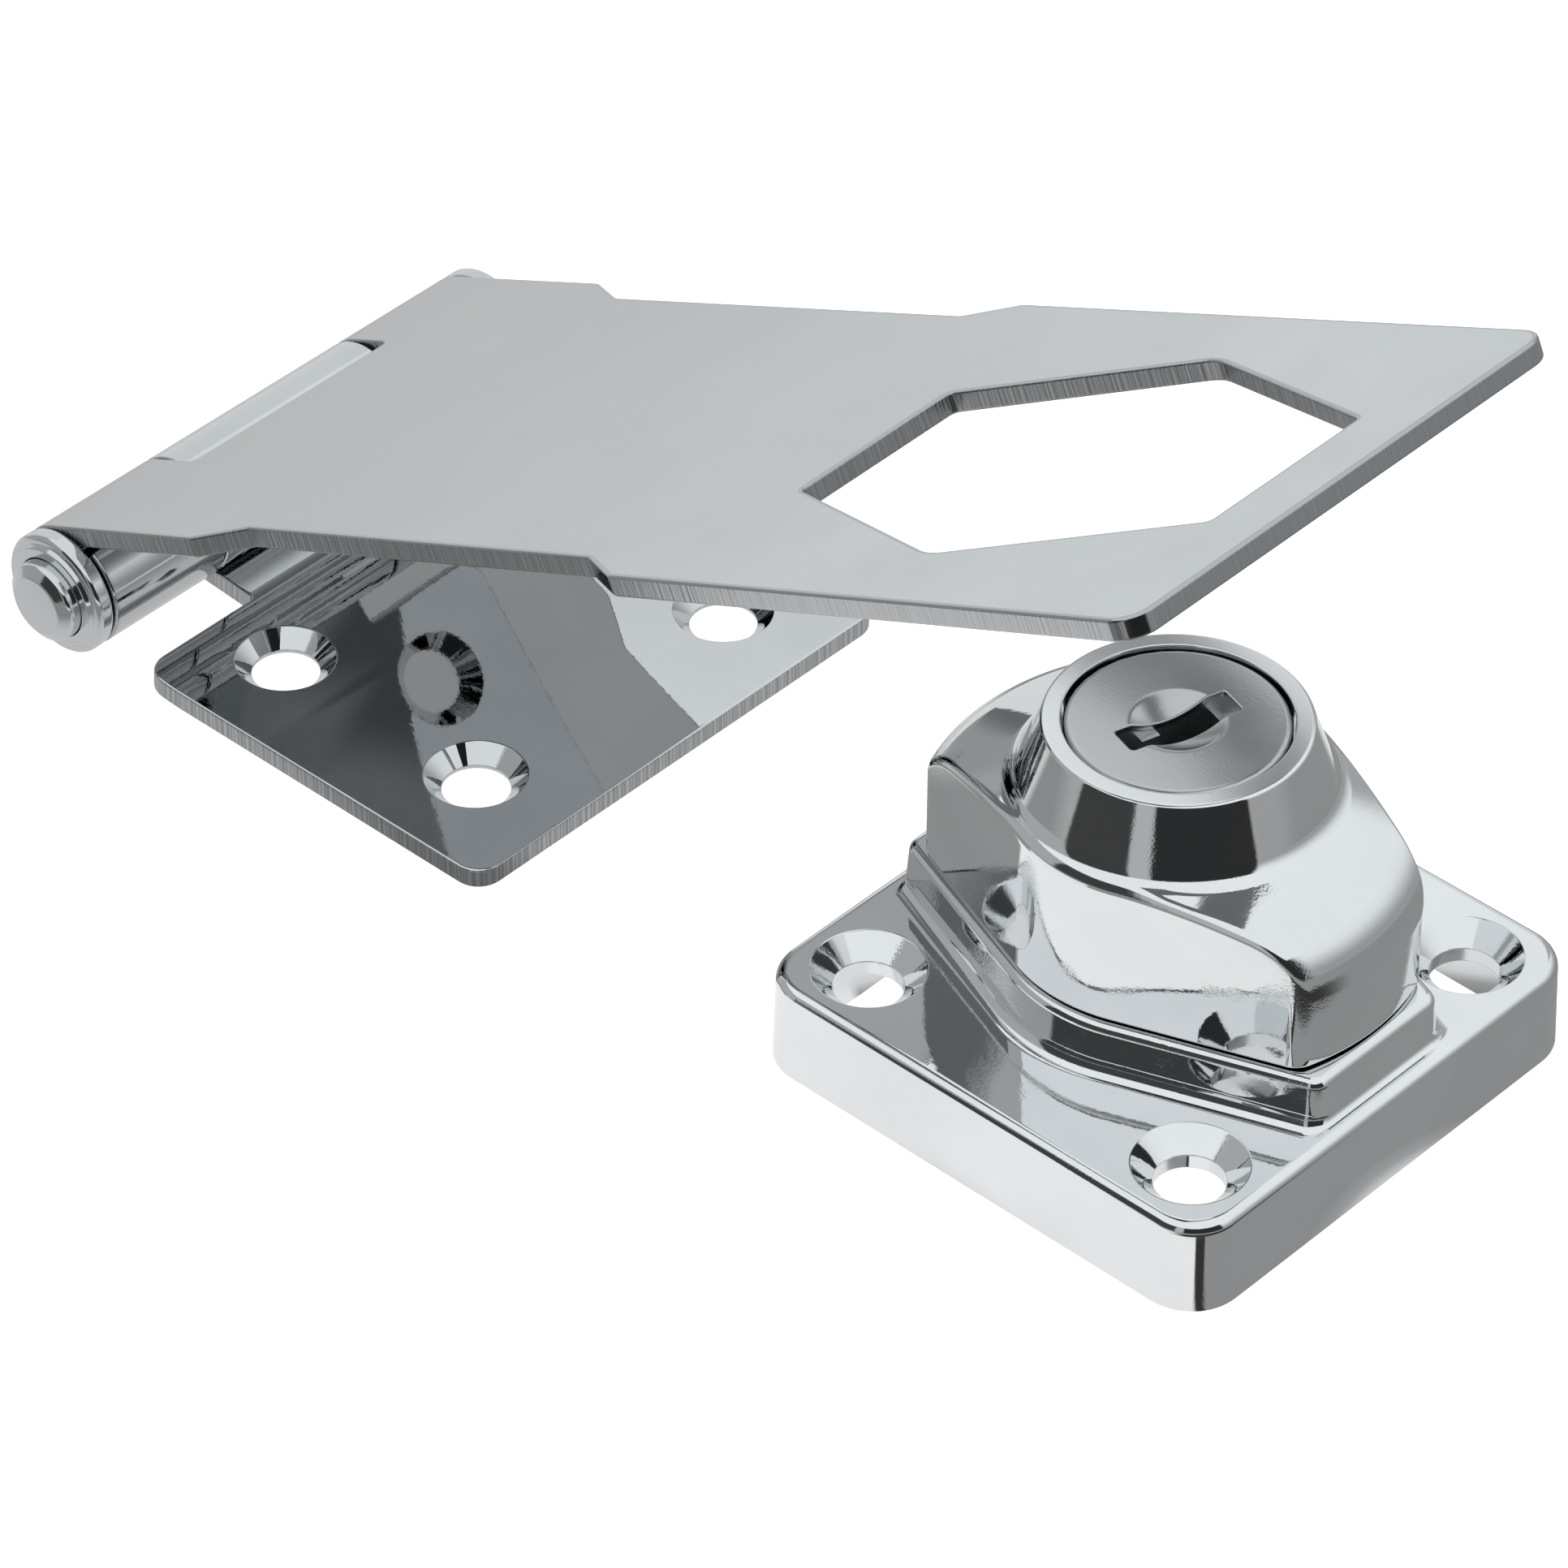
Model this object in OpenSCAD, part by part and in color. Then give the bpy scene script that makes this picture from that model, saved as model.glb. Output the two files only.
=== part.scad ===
// Keyed hasp lock: a hinged strap that drops over a round-shouldered lock post.
// The twist head of the post is turned across the strap's window, and a key in its
// plug throws a bolt that keeps it there.
// Frame: origin on the lock's axis, on the surface it is screwed to, +X away from the
// hinge, +Y along the hinge pin, +Z up.

/* [Layout] */
// Distance from the hinge axis to the lock's axis
hinge_to_lock = 85.5; // [82:0.5:90]
// How far the strap stands open, measured from closed
open_angle = 24.5; // [5:0.5:60]

/* [Strap] */
// Width of the strap over its broad ends
strap_w = 41.3; // [40:0.1:46]
// Thickness of the strap's plate
strap_t = 1.6; // [1.2:0.1:2]
// Metal left between the window and the strap's free end
strap_end_bar = 5.4; // [4:0.1:10]
// Width of the narrow part of the strap
waist_w = 37; // [34:0.5:39]
// Where the narrow part begins, from the hinge axis
waist_from = 20.4; // [18:0.2:26]
// Where the narrow part ends, from the hinge axis
waist_to = 56.7; // [48:0.2:58]
// Length of the slanted step at each end of the narrow part
waist_slant = 4.2; // [2:0.2:6]
// Radius of the strap's outer corners
strap_corner_r = 2.2; // [1:0.1:4]
// Width of the window's flat ends
window_end_w = 14.6; // [13.8:0.2:18]
// Width of the window between its side corners
window_w = 28.4; // [27.8:0.2:32]
// Radius in the window's side corners
window_corner_r = 3; // [1:0.2:5]
// Gap between the post and each end of the window
window_gap = 0.6; // [0.5:0.1:1.5]

/* [Leaf] */
// Length of the leaf from the hinge axis to its free edge
leaf_len = 40.7; // [39:0.1:44]
// Thickness of the leaf's plate
leaf_t = 1.6; // [1.2:0.1:2]
// Radius of the leaf's corners
leaf_corner_r = 2; // [0.8:0.1:3]
// Distance from the hinge axis to the bend across the leaf
leaf_bend_from = 10.5; // [10:0.1:11]
// Rise of the leaf towards the hinge, behind the bend
leaf_bend_angle = 4; // [2:0.5:6]
// Distance from the hinge axis to the edge beside the tongue
leaf_edge_from = 7; // [6.4:0.1:8]
// Screw holes of the leaf: spacing away from the hinge
leaf_pitch_x = 19.05; // [16:0.05:20]
// Screw holes of the leaf: spacing along the hinge
leaf_pitch_y = 25.4; // [20:0.1:28]
// Distance from the free edge to the outer row of screw holes
leaf_hole_edge = 8.1; // [6:0.1:9]

/* [Hinge] */
// Diameter of the hinge pin
pin_d = 6.2; // [5:0.1:6.6]
// Radial clearance of the pin in its knuckles
pin_clear = 0.05; // [0.03:0.01:0.1]
// Width of the leaf's middle knuckle
knuckle_w = 19.2; // [14:0.2:24]
// Side clearance between knuckles, and under the washers
knuckle_gap = 0.2; // [0.1:0.05:0.4]
// Thickness of the washer at each end of the pin
washer_t = 1.5; // [1:0.1:2]
// How far the pin's riveted ends stand out of the washers
rivet_h = 1.8; // [1:0.1:2.4]
// Gap between the curled end of a knuckle and its plate
curl_gap = 0.3; // [0.2:0.05:0.6]

/* [Screws] */
// Diameter of the holes for the wood screws
screw_hole_d = 4.9; // [4:0.1:5.2]
// Diameter of the countersinks in the leaf
leaf_sink_d = 7.4; // [7:0.1:8]
// Diameter of the countersinks in the lock base
base_sink_d = 8; // [7:0.1:8.6]

/* [Lock base] */
// Side of the square base
base_w = 40; // [39.4:0.1:44]
// Height of the base plate
base_h = 7.4; // [7:0.1:7.8]
// Radius of the base's upright corners
base_corner_r = 4; // [2:0.1:5]
// Draft of the base's sides, at the top
base_draft = 0.25; // [0:0.05:0.5]
// Rounding of the base's top edge
base_edge_r = 0.9; // [0.4:0.1:1.5]
// Spacing of the base's screw holes, both ways
base_pitch = 28.5; // [28:0.1:30]
// Length of the raised post under the head
post_len = 37; // [36:0.1:37.4]
// Radius of the post's round middle
post_r = 12.4; // [12:0.1:12.6]
// Height of the post above the base plate
post_h = 4; // [3.6:0.1:5]
// Radius of the post's four upright corners
post_corner_r = 1.5; // [1:0.1:2.5]
// Rounding of the post's top edge
post_edge_r = 0.8; // [0.3:0.1:1]
// Fillet where the post's sides meet the base plate
post_foot_r = 1.2; // [0.6:0.1:1.4]

/* [Head] */
// Angle of the head's and the post's slanted sides against the strap
side_angle = 20.7; // [19:0.1:22]
// Radius of the head's round ends, about its own axis
head_end_r = 17.7; // [17:0.1:17.9]
// Radius of the head's round middle
head_mid_r = 11.8; // [11.5:0.1:12]
// Radius of the head's upright corners
head_corner_r = 1.3; // [0.8:0.1:2]
// Gap between the head and the post
head_gap = 0.2; // [0.1:0.05:0.4]
// Height of the whole lock
lock_h = 28.5; // [28:0.1:31]
// Height of the head's upright wall at its ends
head_wall_h = 6.3; // [5:0.1:7]
// Radius of the shoulder that closes the wall
shoulder_r = 4.2; // [3:0.1:4.6]
// Slope of the shoulder's flank
shoulder_slope = 20; // [15:1:25]
// Radius of the hollow between shoulder and collar
hollow_r = 1.8; // [1:0.1:2.4]
// Outer diameter of the ring at the top of the collar
ring_d = 18.1; // [17.6:0.1:19]
// Lean of the collar's cone from upright
collar_lean = 19.5; // [16:0.5:22]
// Rounding at the collar's top
ring_edge_r = 0.35; // [0.2:0.05:0.6]
// Diameter of the head's neck, which turns in the base
neck_d = 17; // [16.4:0.1:17.4]
// Radial clearance of the neck, and of the plug
turn_clear = 0.05; // [0.03:0.01:0.1]
// Turn of the head from open to across the strap
head_turn = 90; // [80:5:90]

/* [Plug] */
// Diameter of the lock plug
plug_d = 12; // [11.6:0.1:12.4]
// Diameter of the plug's face
face_d = 15.2; // [14.6:0.1:15.6]
// Gap round the face
face_gap = 0.15; // [0.1:0.05:0.3]
// Depth of the face below the ring
face_sink = 0.15; // [0:0.05:0.6]
// Thickness of the sheet that caps the plug
cap_t = 0.45; // [0.3:0.05:0.6]
// Depth of the dish in the middle of the face
dish_depth = 0.9; // [0.4:0.1:1.1]
// Radius of the ball that forms the dish
dish_r = 6; // [5:0.5:9]
// Length of the keyway
keyway_len = 8.6; // [7:0.1:8.8]
// Width of the keyway
keyway_w = 2.3; // [1.8:0.1:2.4]
// Direction of the keyway, from +X
keyway_angle = 73; // [60:1:90]
// Width of the ward that runs down one side of the keyway
ward_w = 1.4; // [1:0.1:2]
// How far the ward stands into the keyway
ward_t = 0.6; // [0.3:0.05:0.8]
// Place of the ward along the keyway, from the lock's axis
ward_off = -1.7; // [-2.4:0.1:0.6]
// Height of the plug's flange under its cap
flange_h = 1.4; // [1:0.1:2]
// Distance between wafers
wafer_pitch = 2.6; // [2.4:0.1:2.8]
// Thickness of a wafer
wafer_t = 1.5; // [1.2:0.1:1.6]
// Width of a wafer
wafer_w = 5.4; // [5:0.1:5.6]
// Clearance of a wafer in its slot
wafer_clear = 0.06; // [0.04:0.01:0.1]

/* [Bolt] */
// Width of the locking bolt
bolt_w = 6.6; // [6.4:0.1:7]
// Thickness of the locking bolt
bolt_t = 2; // [1.6:0.1:2.2]
// Radius at which the plug's driving pin stands
crank_r = 1.6; // [1.4:0.1:1.7]
// Diameter of the plug's driving pin
crank_d = 1.6; // [1.2:0.1:1.8]
// Clearance round the bolt and in its slot
bolt_clear = 0.15; // [0.12:0.01:0.2]

/* [Underside] */
// Depth of the round recess in the base's underside
recess_h = 3.6; // [3.5:0.1:4]
// Diameter of the round recess
recess_d = 22.6; // [22.2:0.2:24]
// Height at which the neck ends above the mounting surface
neck_lift = 0.5; // [0.3:0.1:0.7]
// Thickness of the stop washer
stop_t = 0.9; // [0.6:0.1:1]
// Thickness of the retaining ring
clip_t = 0.8; // [0.6:0.1:0.8]

/* [Hidden] */
$fn = 96;
over = 1;              // how far a cutting shape runs past what it cuts
slice = 0.01;          // thickness of the thin outlines that a hull joins
clear_of_arc = 0.08;   // keeps a hull's many-sided outline clear of the true round beside it

// Hinge
bore_r = pin_d / 2 + pin_clear;
strap_r = bore_r + strap_t;
leaf_r = bore_r + leaf_t;
hinge_x = -hinge_to_lock;
hinge_z = leaf_r / cos(leaf_bend_angle) + leaf_bend_from * tan(leaf_bend_angle);
pin_half = strap_w / 2 + knuckle_gap / 2 + washer_t;

leaf_w = strap_w;      // the leaf and the strap end level under the washers

// Window and strap, measured from the hinge axis
window_from = hinge_to_lock - post_len / 2 - window_gap;
window_to = hinge_to_lock + post_len / 2 + window_gap;
strap_len = window_to + strap_end_bar;
notch_to = sqrt(pow(leaf_r + 0.3, 2) - pow(bore_r, 2));

// Heights of the lock
post_top = base_h + post_h;
head_z = post_top + head_gap;
wall_top = head_z + head_wall_h;
face_z = lock_h - face_sink;
flange_top = face_z - cap_t;
seat_z = flange_top - flange_h - 0.2;
neck_r = neck_d / 2;
plug_r = plug_d / 2;
plug_bore_r = plug_r + turn_clear;

// Inside of the neck, from below
cover_z = 3.2;
cover_t = 0.9;
bolt_z = cover_z + cover_t + 0.1;
bolt_top = bolt_z + bolt_t;
cavity_r = plug_r + 0.8;
plug_end = 7.3;
ledge_z = 8.6;
plug_ring_t = 0.6;
bolt_travel = 2 * crank_r * sin(45);
bolt_tip = neck_r - 0.2;
crank_a = 45;
first_wafer_z = 11.6;
wafer_len = 2 * plug_r - 0.1;
channel_r = plug_bore_r + 0.8;

// Wafers, lying across the keyway: pocket for the spring beside each, wing it pushes on
wafer_count = 5;       // as many as there are wafer nodes
spring_room = 1.6;
spring_off = wafer_w / 2 + 0.95;
spring_from = -2.8;
wing_from = 0.9;
wing_t = 0.7;

// Underside, from below
clip_z = neck_lift + 0.4;
stop_z = clip_z + clip_t + 0.1;
lug_r = recess_d / 2 + 1.4;
lug_w = 3;
lug_a = 45;
flat_x = neck_r - 0.7;

// Points on an arc about c with radius r, from angle a to angle b
function arc(c, r, a, b, n = 8) =
    [for (i = [0:n]) c + r * [cos(a + (b - a) * i / n), sin(a + (b - a) * i / n)]];

// Quarter round that takes a body of height h to its inset top, as [inset, height] pairs
function edge_steps(r, h, n = 5) =
    [for (i = [0:n]) [r * (1 - cos(90 * i / n)), h - r * (1 - sin(90 * i / n))]];

// A polygon whose corners are rounded by true circles: each corner is [x, y, radius],
// the polygon is convex and runs anticlockwise
module rounded_polygon(corners) {
    n = len(corners);
    function unit(v) = v / norm(v);
    function pt(i) = [corners[i % n][0], corners[i % n][1]];
    function before(i) = unit(pt(i + n - 1) - pt(i));
    function after(i) = unit(pt(i + 1) - pt(i));
    function half(i) = acos(before(i) * after(i)) / 2;
    polygon([for (i = [0:n - 1]) each [
        pt(i) + before(i) * corners[i][2] / tan(half(i)),
        pt(i) + after(i) * corners[i][2] / tan(half(i))]]);
    for (i = [0:n - 1])
        translate(pt(i) + unit(before(i) + after(i)) * corners[i][2] / sin(half(i)))
            circle(corners[i][2]);
}

module rounded_box_2d(w, l, r) {
    rounded_polygon([[-w / 2, -l / 2, r], [w / 2, -l / 2, r], [w / 2, l / 2, r], [-w / 2, l / 2, r]]);
}

module ring(r_out, r_in, h) {
    difference() {
        cylinder(r = r_out, h = h);
        translate([0, 0, -over]) cylinder(r = r_in, h = h + 2 * over);
    }
}

// Hole for a countersunk screw whose head comes from above, top face at z = 0
module screw_hole(sink_d, depth) {
    translate([0, 0, -depth - over]) cylinder(d = screw_hole_d, h = depth + 2 * over);
    sink_h = (sink_d - screw_hole_d) / 2;
    translate([0, 0, -sink_h]) cylinder(d1 = screw_hole_d, d2 = sink_d, h = sink_h);
    cylinder(d = sink_d, h = over);
}

module at_hinge() {
    translate([hinge_x, 0, hinge_z]) children();
}

// Lay a flat drawing made in x and z along the pin, from y0 to y1
module along_pin(y0, y1) {
    translate([0, y1, 0]) rotate([90, 0, 0]) linear_extrude(height = y1 - y0) children();
}

// The fixed leaf: a plate that rises slightly to the hinge and curls round the pin
module hinge_leaf() {
    color("gainsboro") difference() {
        union() {
            intersection() {
                at_hinge() along_pin(-leaf_w / 2, leaf_w / 2) leaf_side();
                leaf_outline();
            }
            at_hinge() along_pin(-knuckle_w / 2, knuckle_w / 2) leaf_tongue();
        }
        at_hinge() rotate([90, 0, 0]) cylinder(r = bore_r, h = leaf_w, center = true);
        for (x = [0, 1], s = [-1, 1])
            translate([hinge_x + leaf_len - leaf_hole_edge - x * leaf_pitch_x,
                       s * leaf_pitch_y / 2, leaf_t])
                screw_hole(leaf_sink_d, leaf_t);
    }
}

// Side view of the whole plate, with the bend, in the hinge's own axes
module leaf_side() {
    rise = leaf_bend_from * tan(leaf_bend_angle);
    polygon([
        [0, rise - hinge_z], [leaf_bend_from, -hinge_z], [leaf_len, -hinge_z],
        [leaf_len, leaf_t - hinge_z],
        [leaf_bend_from + leaf_t * tan(leaf_bend_angle / 2), leaf_t - hinge_z],
        [0, rise + leaf_t / cos(leaf_bend_angle) - hinge_z]]);
}

module leaf_outline() {
    translate([hinge_x + (leaf_edge_from + leaf_len) / 2, 0, -over])
        linear_extrude(height = hinge_z + 2 * over)
            rounded_box_2d(leaf_len - leaf_edge_from, leaf_w, leaf_corner_r);
}

// The tongue under the pin and its curl, with the gap where the curl ends
module leaf_tongue() {
    intersection() {
        leaf_side();
        translate([0, -hinge_z]) square([leaf_edge_from + leaf_corner_r, hinge_z]);
    }
    difference() {
        circle(leaf_r);
        rotate(-leaf_bend_angle)
            translate([0, -bore_r]) square([leaf_r + over, curl_gap]);
    }
}

// The strap, built closed in the hinge's own axes and then swung open
module hasp_strap() {
    color("silver") at_hinge() rotate([0, -open_angle, 0]) difference() {
        union() {
            translate([0, 0, bore_r]) linear_extrude(height = strap_t) strap_outline();
            for (s = [-1, 1])
                along_pin(s > 0 ? knuckle_w / 2 + knuckle_gap : -strap_w / 2,
                          s > 0 ? strap_w / 2 : -knuckle_w / 2 - knuckle_gap)
                    strap_curl();
        }
        rotate([90, 0, 0]) cylinder(r = bore_r, h = strap_w + over, center = true);
    }
}

// Plan of the strap: broad ends, narrow middle, window for the post, notch for the leaf
module strap_outline() {
    broad = strap_w / 2;
    slim = waist_w / 2;
    r = strap_corner_r;
    end = strap_len - r;
    difference() {
        union() {
            polygon([[0, -broad], [waist_from - waist_slant, -broad], [waist_from, -slim],
                     [waist_to, -slim], [waist_to + waist_slant, -broad], [end, -broad],
                     [end, broad], [waist_to + waist_slant, broad], [waist_to, slim],
                     [waist_from, slim], [waist_from - waist_slant, broad], [0, broad]]);
            translate([end - over, r - broad]) square([r + over, strap_w - 2 * r]);
            for (s = [-1, 1]) translate([end, s * (broad - r)]) circle(r);
        }
        translate([hinge_to_lock, 0]) window_outline();
        translate([-over, -knuckle_w / 2 - knuckle_gap])
            square([notch_to + over, knuckle_w + 2 * knuckle_gap]);
    }
}

module window_outline() {
    e = (window_to - window_from) / 2;
    end = window_end_w / 2;
    side = window_w / 2;
    r = 0.6;
    rounded_polygon([[e, -end, r], [e, end, r], [0, side, window_corner_r],
                     [-e, end, r], [-e, -end, r], [0, -side, window_corner_r]]);
}

// The strap's knuckle: its plate goes over the pin and curls back under itself
module strap_curl() {
    difference() {
        circle(strap_r);
        translate([0, bore_r - curl_gap]) square([strap_r + over, curl_gap]);
    }
}

// The pin, riveted over at both ends
module hinge_pin() {
    dome = 0.5;
    half = pin_half + rivet_h;
    color("gainsboro") at_hinge() rotate([90, 0, 0]) rotate_extrude()
        polygon(concat([[0, -half]],
            arc([pin_d / 2 - dome, -half + dome], dome, -90, 0, 4),
            arc([pin_d / 2 - dome, half - dome], dome, 0, 90, 4), [[0, half]]));
}

// Washer at one end of the pin: round edge, with a small raised ring round the rivet
module pin_washer(s) {
    edge = 0.45;
    inner = pin_d / 2 + pin_clear;
    start = pin_half - washer_t;
    color("gainsboro") at_hinge() rotate([-90 * s, 0, 0]) translate([0, 0, start])
        rotate_extrude() polygon(concat(
            [[inner, 0]],
            arc([strap_r - edge, edge], edge, -90, 0, 4),
            arc([strap_r - edge, washer_t - edge], edge, 0, 90, 4),
            [[inner + 0.9, washer_t], [inner + 0.8, washer_t + 0.35], [inner, washer_t + 0.35]]));
}

module pin_washer_near() { pin_washer(-1); }
module pin_washer_far() { pin_washer(1); }

// Plan shared by the post and the head's slanted sides: a round middle of radius mid,
// flat ends at x = end, corners of radius r, sides tangent to the middle
module post_plan(mid, end, r) {
    n = [sin(side_angle), cos(side_angle)];
    cy = (mid - r - (end - r) * n[0]) / n[1];
    c = [end - r, cy];
    corner = [c + r * n, [end, cy]];
    circle(mid);
    polygon([corner[1], corner[0], mid * n, [-mid * n[0], mid * n[1]],
             [-corner[0][0], corner[0][1]], [-end, cy], [-end, -cy],
             [-corner[0][0], -corner[0][1]], -mid * n, [mid * n[0], -mid * n[1]],
             [corner[0][0], -corner[0][1]], [end, -cy]]);
    for (x = [-1, 1], y = [-1, 1]) translate([x * c[0], y * c[1]]) circle(r);
}

// The cast base: drafted square plate with the post for the strap's window on top
module lock_base() {
    color("lightgray") difference() {
        union() {
            hull() for (e = concat([[-base_draft, 0]], edge_steps(base_edge_r, base_h)))
                translate([0, 0, min(e[1], base_h - slice)]) linear_extrude(height = slice)
                    base_square(e[0] + base_draft);
            translate([0, 0, base_h - over])
                linear_extrude(height = over + post_h - post_edge_r)
                    post_plan(post_r, post_len / 2, post_corner_r);
            hull() for (e = edge_steps(post_edge_r, post_top))
                translate([0, 0, min(e[1], post_top - slice)]) linear_extrude(height = slice)
                    post_plan(post_r - e[0] - clear_of_arc / 4, post_len / 2 - e[0] - clear_of_arc / 4,
                              post_corner_r - e[0], $fn = 32);
            post_foot();
        }
        neck_seat();
        for (x = [-1, 1], y = [-1, 1])
            translate([x * base_pitch / 2, y * base_pitch / 2, base_h])
                screw_hole(base_sink_d, base_h);
    }
}

// The base's outline, drawn in by the given inset
module base_square(inset) {
    r = base_corner_r;
    for (x = [-1, 1], y = [-1, 1])
        translate([x * (base_w / 2 - r), y * (base_w / 2 - r)]) circle(r - inset, $fn = 32);
}

// Hollow fillet between the post's long sides and the base plate
module post_foot() {
    steps = 4;
    function out(i) = clear_of_arc + (post_foot_r - clear_of_arc) * (1 - sin(90 * i / steps));
    function up(i) = base_h + post_foot_r * (1 - cos(90 * i / steps));
    for (i = [0:steps - 1]) hull() for (k = [i, i + 1])
        translate([0, 0, up(k) - (k == i ? slice : 0)]) linear_extrude(height = slice)
            post_plan(post_r + out(k), post_len / 2 + out(k) * 0.25, post_corner_r, $fn = 32);
}

// What is cut out of the base from below: bearing, recess, stop track, bolt pockets
module neck_seat() {
    translate([0, 0, -over]) cylinder(r = neck_r + turn_clear, h = post_top + 2 * over);
    translate([0, 0, -over]) cylinder(d = recess_d, h = recess_h + over);
    translate([0, 0, -over]) linear_extrude(height = stop_z + stop_t + 0.3 + over)
        stop_track();
    for (a = [180, 180 + head_turn]) rotate(a)
        translate([0, -bolt_w / 2 - bolt_clear, 0])
            cube([bolt_tip + bolt_travel + 0.6, bolt_w + 2 * bolt_clear, bolt_top + 0.3]);
}

// The sector in which the stop washer's lug runs
module stop_track() {
    play = asin(lug_w / 2 / (recess_d / 2)) + 0.5;
    intersection() {
        circle(lug_r + 0.3);
        polygon(concat([[0, 0]],
            [for (i = [0:4]) 2 * lug_r * [cos(lug_a - play + (head_turn + 2 * play) * i / 4),
                                          sin(lug_a - play + (head_turn + 2 * play) * i / 4)]]));
    }
}

// Springy washer that presses the head down on the post
module wave_washer() {
    n = 48;
    waves = 3;
    t = 0.3;
    r_in = neck_r + 0.3;
    r_out = recess_d / 2 - 0.4;
    room = recess_h - stop_z - stop_t;
    swing = (room - t) / 2 - 0.05;
    mid = stop_z + stop_t + room / 2;
    color("lightsteelblue") polyhedron(
        points = [for (i = [0:n - 1]) each [for (q = [[r_in, -1], [r_out, -1], [r_out, 1], [r_in, 1]])
            [q[0] * cos(360 * i / n), q[0] * sin(360 * i / n),
             mid + q[1] * t / 2 + swing * sin(360 * waves * i / n)]]],
        faces = [for (i = [0:n - 1]) each [for (k = [0:3])
            let (a = 4 * i + k, b = 4 * i + (k + 1) % 4,
                 c = 4 * ((i + 1) % n) + (k + 1) % 4, d = 4 * ((i + 1) % n) + k)
            each [[a, b, c], [a, c, d]]]]);
}

// The head's turned form, before its two long sides are cut
module head_revolve() {
    c = [head_end_r - shoulder_r, wall_top];
    top = lock_h;
    ring_r = ring_d / 2;
    flank = c + shoulder_r * [sin(shoulder_slope), cos(shoulder_slope)];
    // Where the shoulder's flank would meet the collar's cone
    fall = tan(shoulder_slope);
    lean = tan(collar_lean);
    meet_r = (ring_r + lean * (top - flank[1] - fall * flank[0])) / (1 - lean * fall);
    meet = [meet_r, flank[1] + fall * (flank[0] - meet_r)];
    open = 90 + collar_lean + shoulder_slope;
    away = hollow_r / tan(open / 2);
    hollow = meet + away * [cos(shoulder_slope), -sin(shoulder_slope)]
        + hollow_r * [sin(shoulder_slope), cos(shoulder_slope)];
    rotate_extrude() polygon(concat(
        [[0, head_z], [head_end_r, head_z]],
        arc(c, shoulder_r, 0, 90 - shoulder_slope, 8),
        arc(hollow, hollow_r, 270 - shoulder_slope, 180 + collar_lean, 5),
        arc([ring_r - ring_edge_r, top - ring_edge_r], ring_edge_r, collar_lean, 90, 4),
        [[0, top]]));
}

// Plan of the head: post_plan's sides, with ends that are round about the head's axis
module head_plan() {
    r = head_corner_r;
    n_a = 90 - side_angle;
    c_a = n_a - acos((head_mid_r - r) / (head_end_r - r));
    c = (head_end_r - r) * [cos(c_a), sin(c_a)];
    q = head_end_r * [cos(c_a), sin(c_a)];
    n = [cos(n_a), sin(n_a)];
    for (s = [0, 180]) rotate(s) {
        for (y = [-1, 1]) translate([c[0], y * c[1]]) circle(r);
        intersection() {
            circle(head_end_r);
            polygon([[0, 0], [2 * q[0], -2 * q[1]], [2 * q[0], 2 * q[1]]]);
        }
    }
    circle(head_mid_r);
    t = c + r * n;
    m = head_mid_r * n;
    polygon([q, t, m, [-m[0], m[1]], [-t[0], t[1]], [-q[0], q[1]],
             [-q[0], -q[1]], [-t[0], -t[1]], [-m[0], -m[1]], [m[0], -m[1]], [t[0], -t[1]], [q[0], -q[1]]]);
}

// The twist head, with its hollow neck through the base
module lock_head() {
    color("lightgray") difference() {
        union() {
            intersection() {
                head_revolve();
                linear_extrude(height = lock_h + over) head_plan();
            }
            translate([0, 0, neck_lift]) cylinder(r = neck_r, h = head_z - neck_lift + over);
        }
        translate([0, 0, seat_z]) cylinder(d = face_d + 2 * face_gap, h = lock_h);
        cylinder(r = plug_bore_r, h = lock_h);
        cylinder(r = cavity_r, h = ledge_z);
        wafer_channels();
        translate([0, 0, clip_z]) ring(neck_r + over, neck_r - 0.6, clip_t + 0.1);
        for (s = [-1, 1]) translate([s * (flat_x + neck_r / 2), 0, recess_h / 2])
            cube([neck_r, neck_d, recess_h], center = true);
        rotate(180) translate([0, -bolt_w / 2 - bolt_clear / 2, cover_z + cover_t])
            cube([neck_r + over, bolt_w + bolt_clear, bolt_t + 0.2]);
    }
}

// Four grooves down the plug's bore, into which the wafers spring without the key
module wafer_channels() {
    h = wafer_pitch * wafer_count + 1;
    for (a = [0, 90]) rotate(keyway_angle + a)
        translate([-channel_r, -wafer_w / 2 - 0.15, first_wafer_z - 1])
            cube([2 * channel_r, wafer_w + 0.3, h]);
}

// Washer keyed to the neck's flats, with the lug that stops the head
module stop_washer() {
    color("lightsteelblue") translate([0, 0, stop_z]) linear_extrude(height = stop_t)
        difference() {
            union() {
                circle(recess_d / 2 - 0.3);
                rotate(lug_a) translate([0, -lug_w / 2]) square([lug_r, lug_w]);
            }
            intersection() {
                circle(neck_r + 0.05);
                square([2 * flat_x + 0.1, neck_d + over], center = true);
            }
        }
}

// Open spring ring in the neck's groove
module retaining_ring() {
    gap = 5;
    color("lightsteelblue") translate([0, 0, clip_z + 0.05]) difference() {
        ring(recess_d / 2 - 1, neck_r - 0.55, clip_t);
        translate([0, -gap / 2, -over]) cube([recess_d, gap, clip_t + 2 * over]);
    }
}

// Disc staked into the neck under the bolt
module bolt_cover() {
    color("lightsteelblue") translate([0, 0, cover_z])
        cylinder(r = cavity_r - 0.02, h = cover_t);
}

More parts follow.
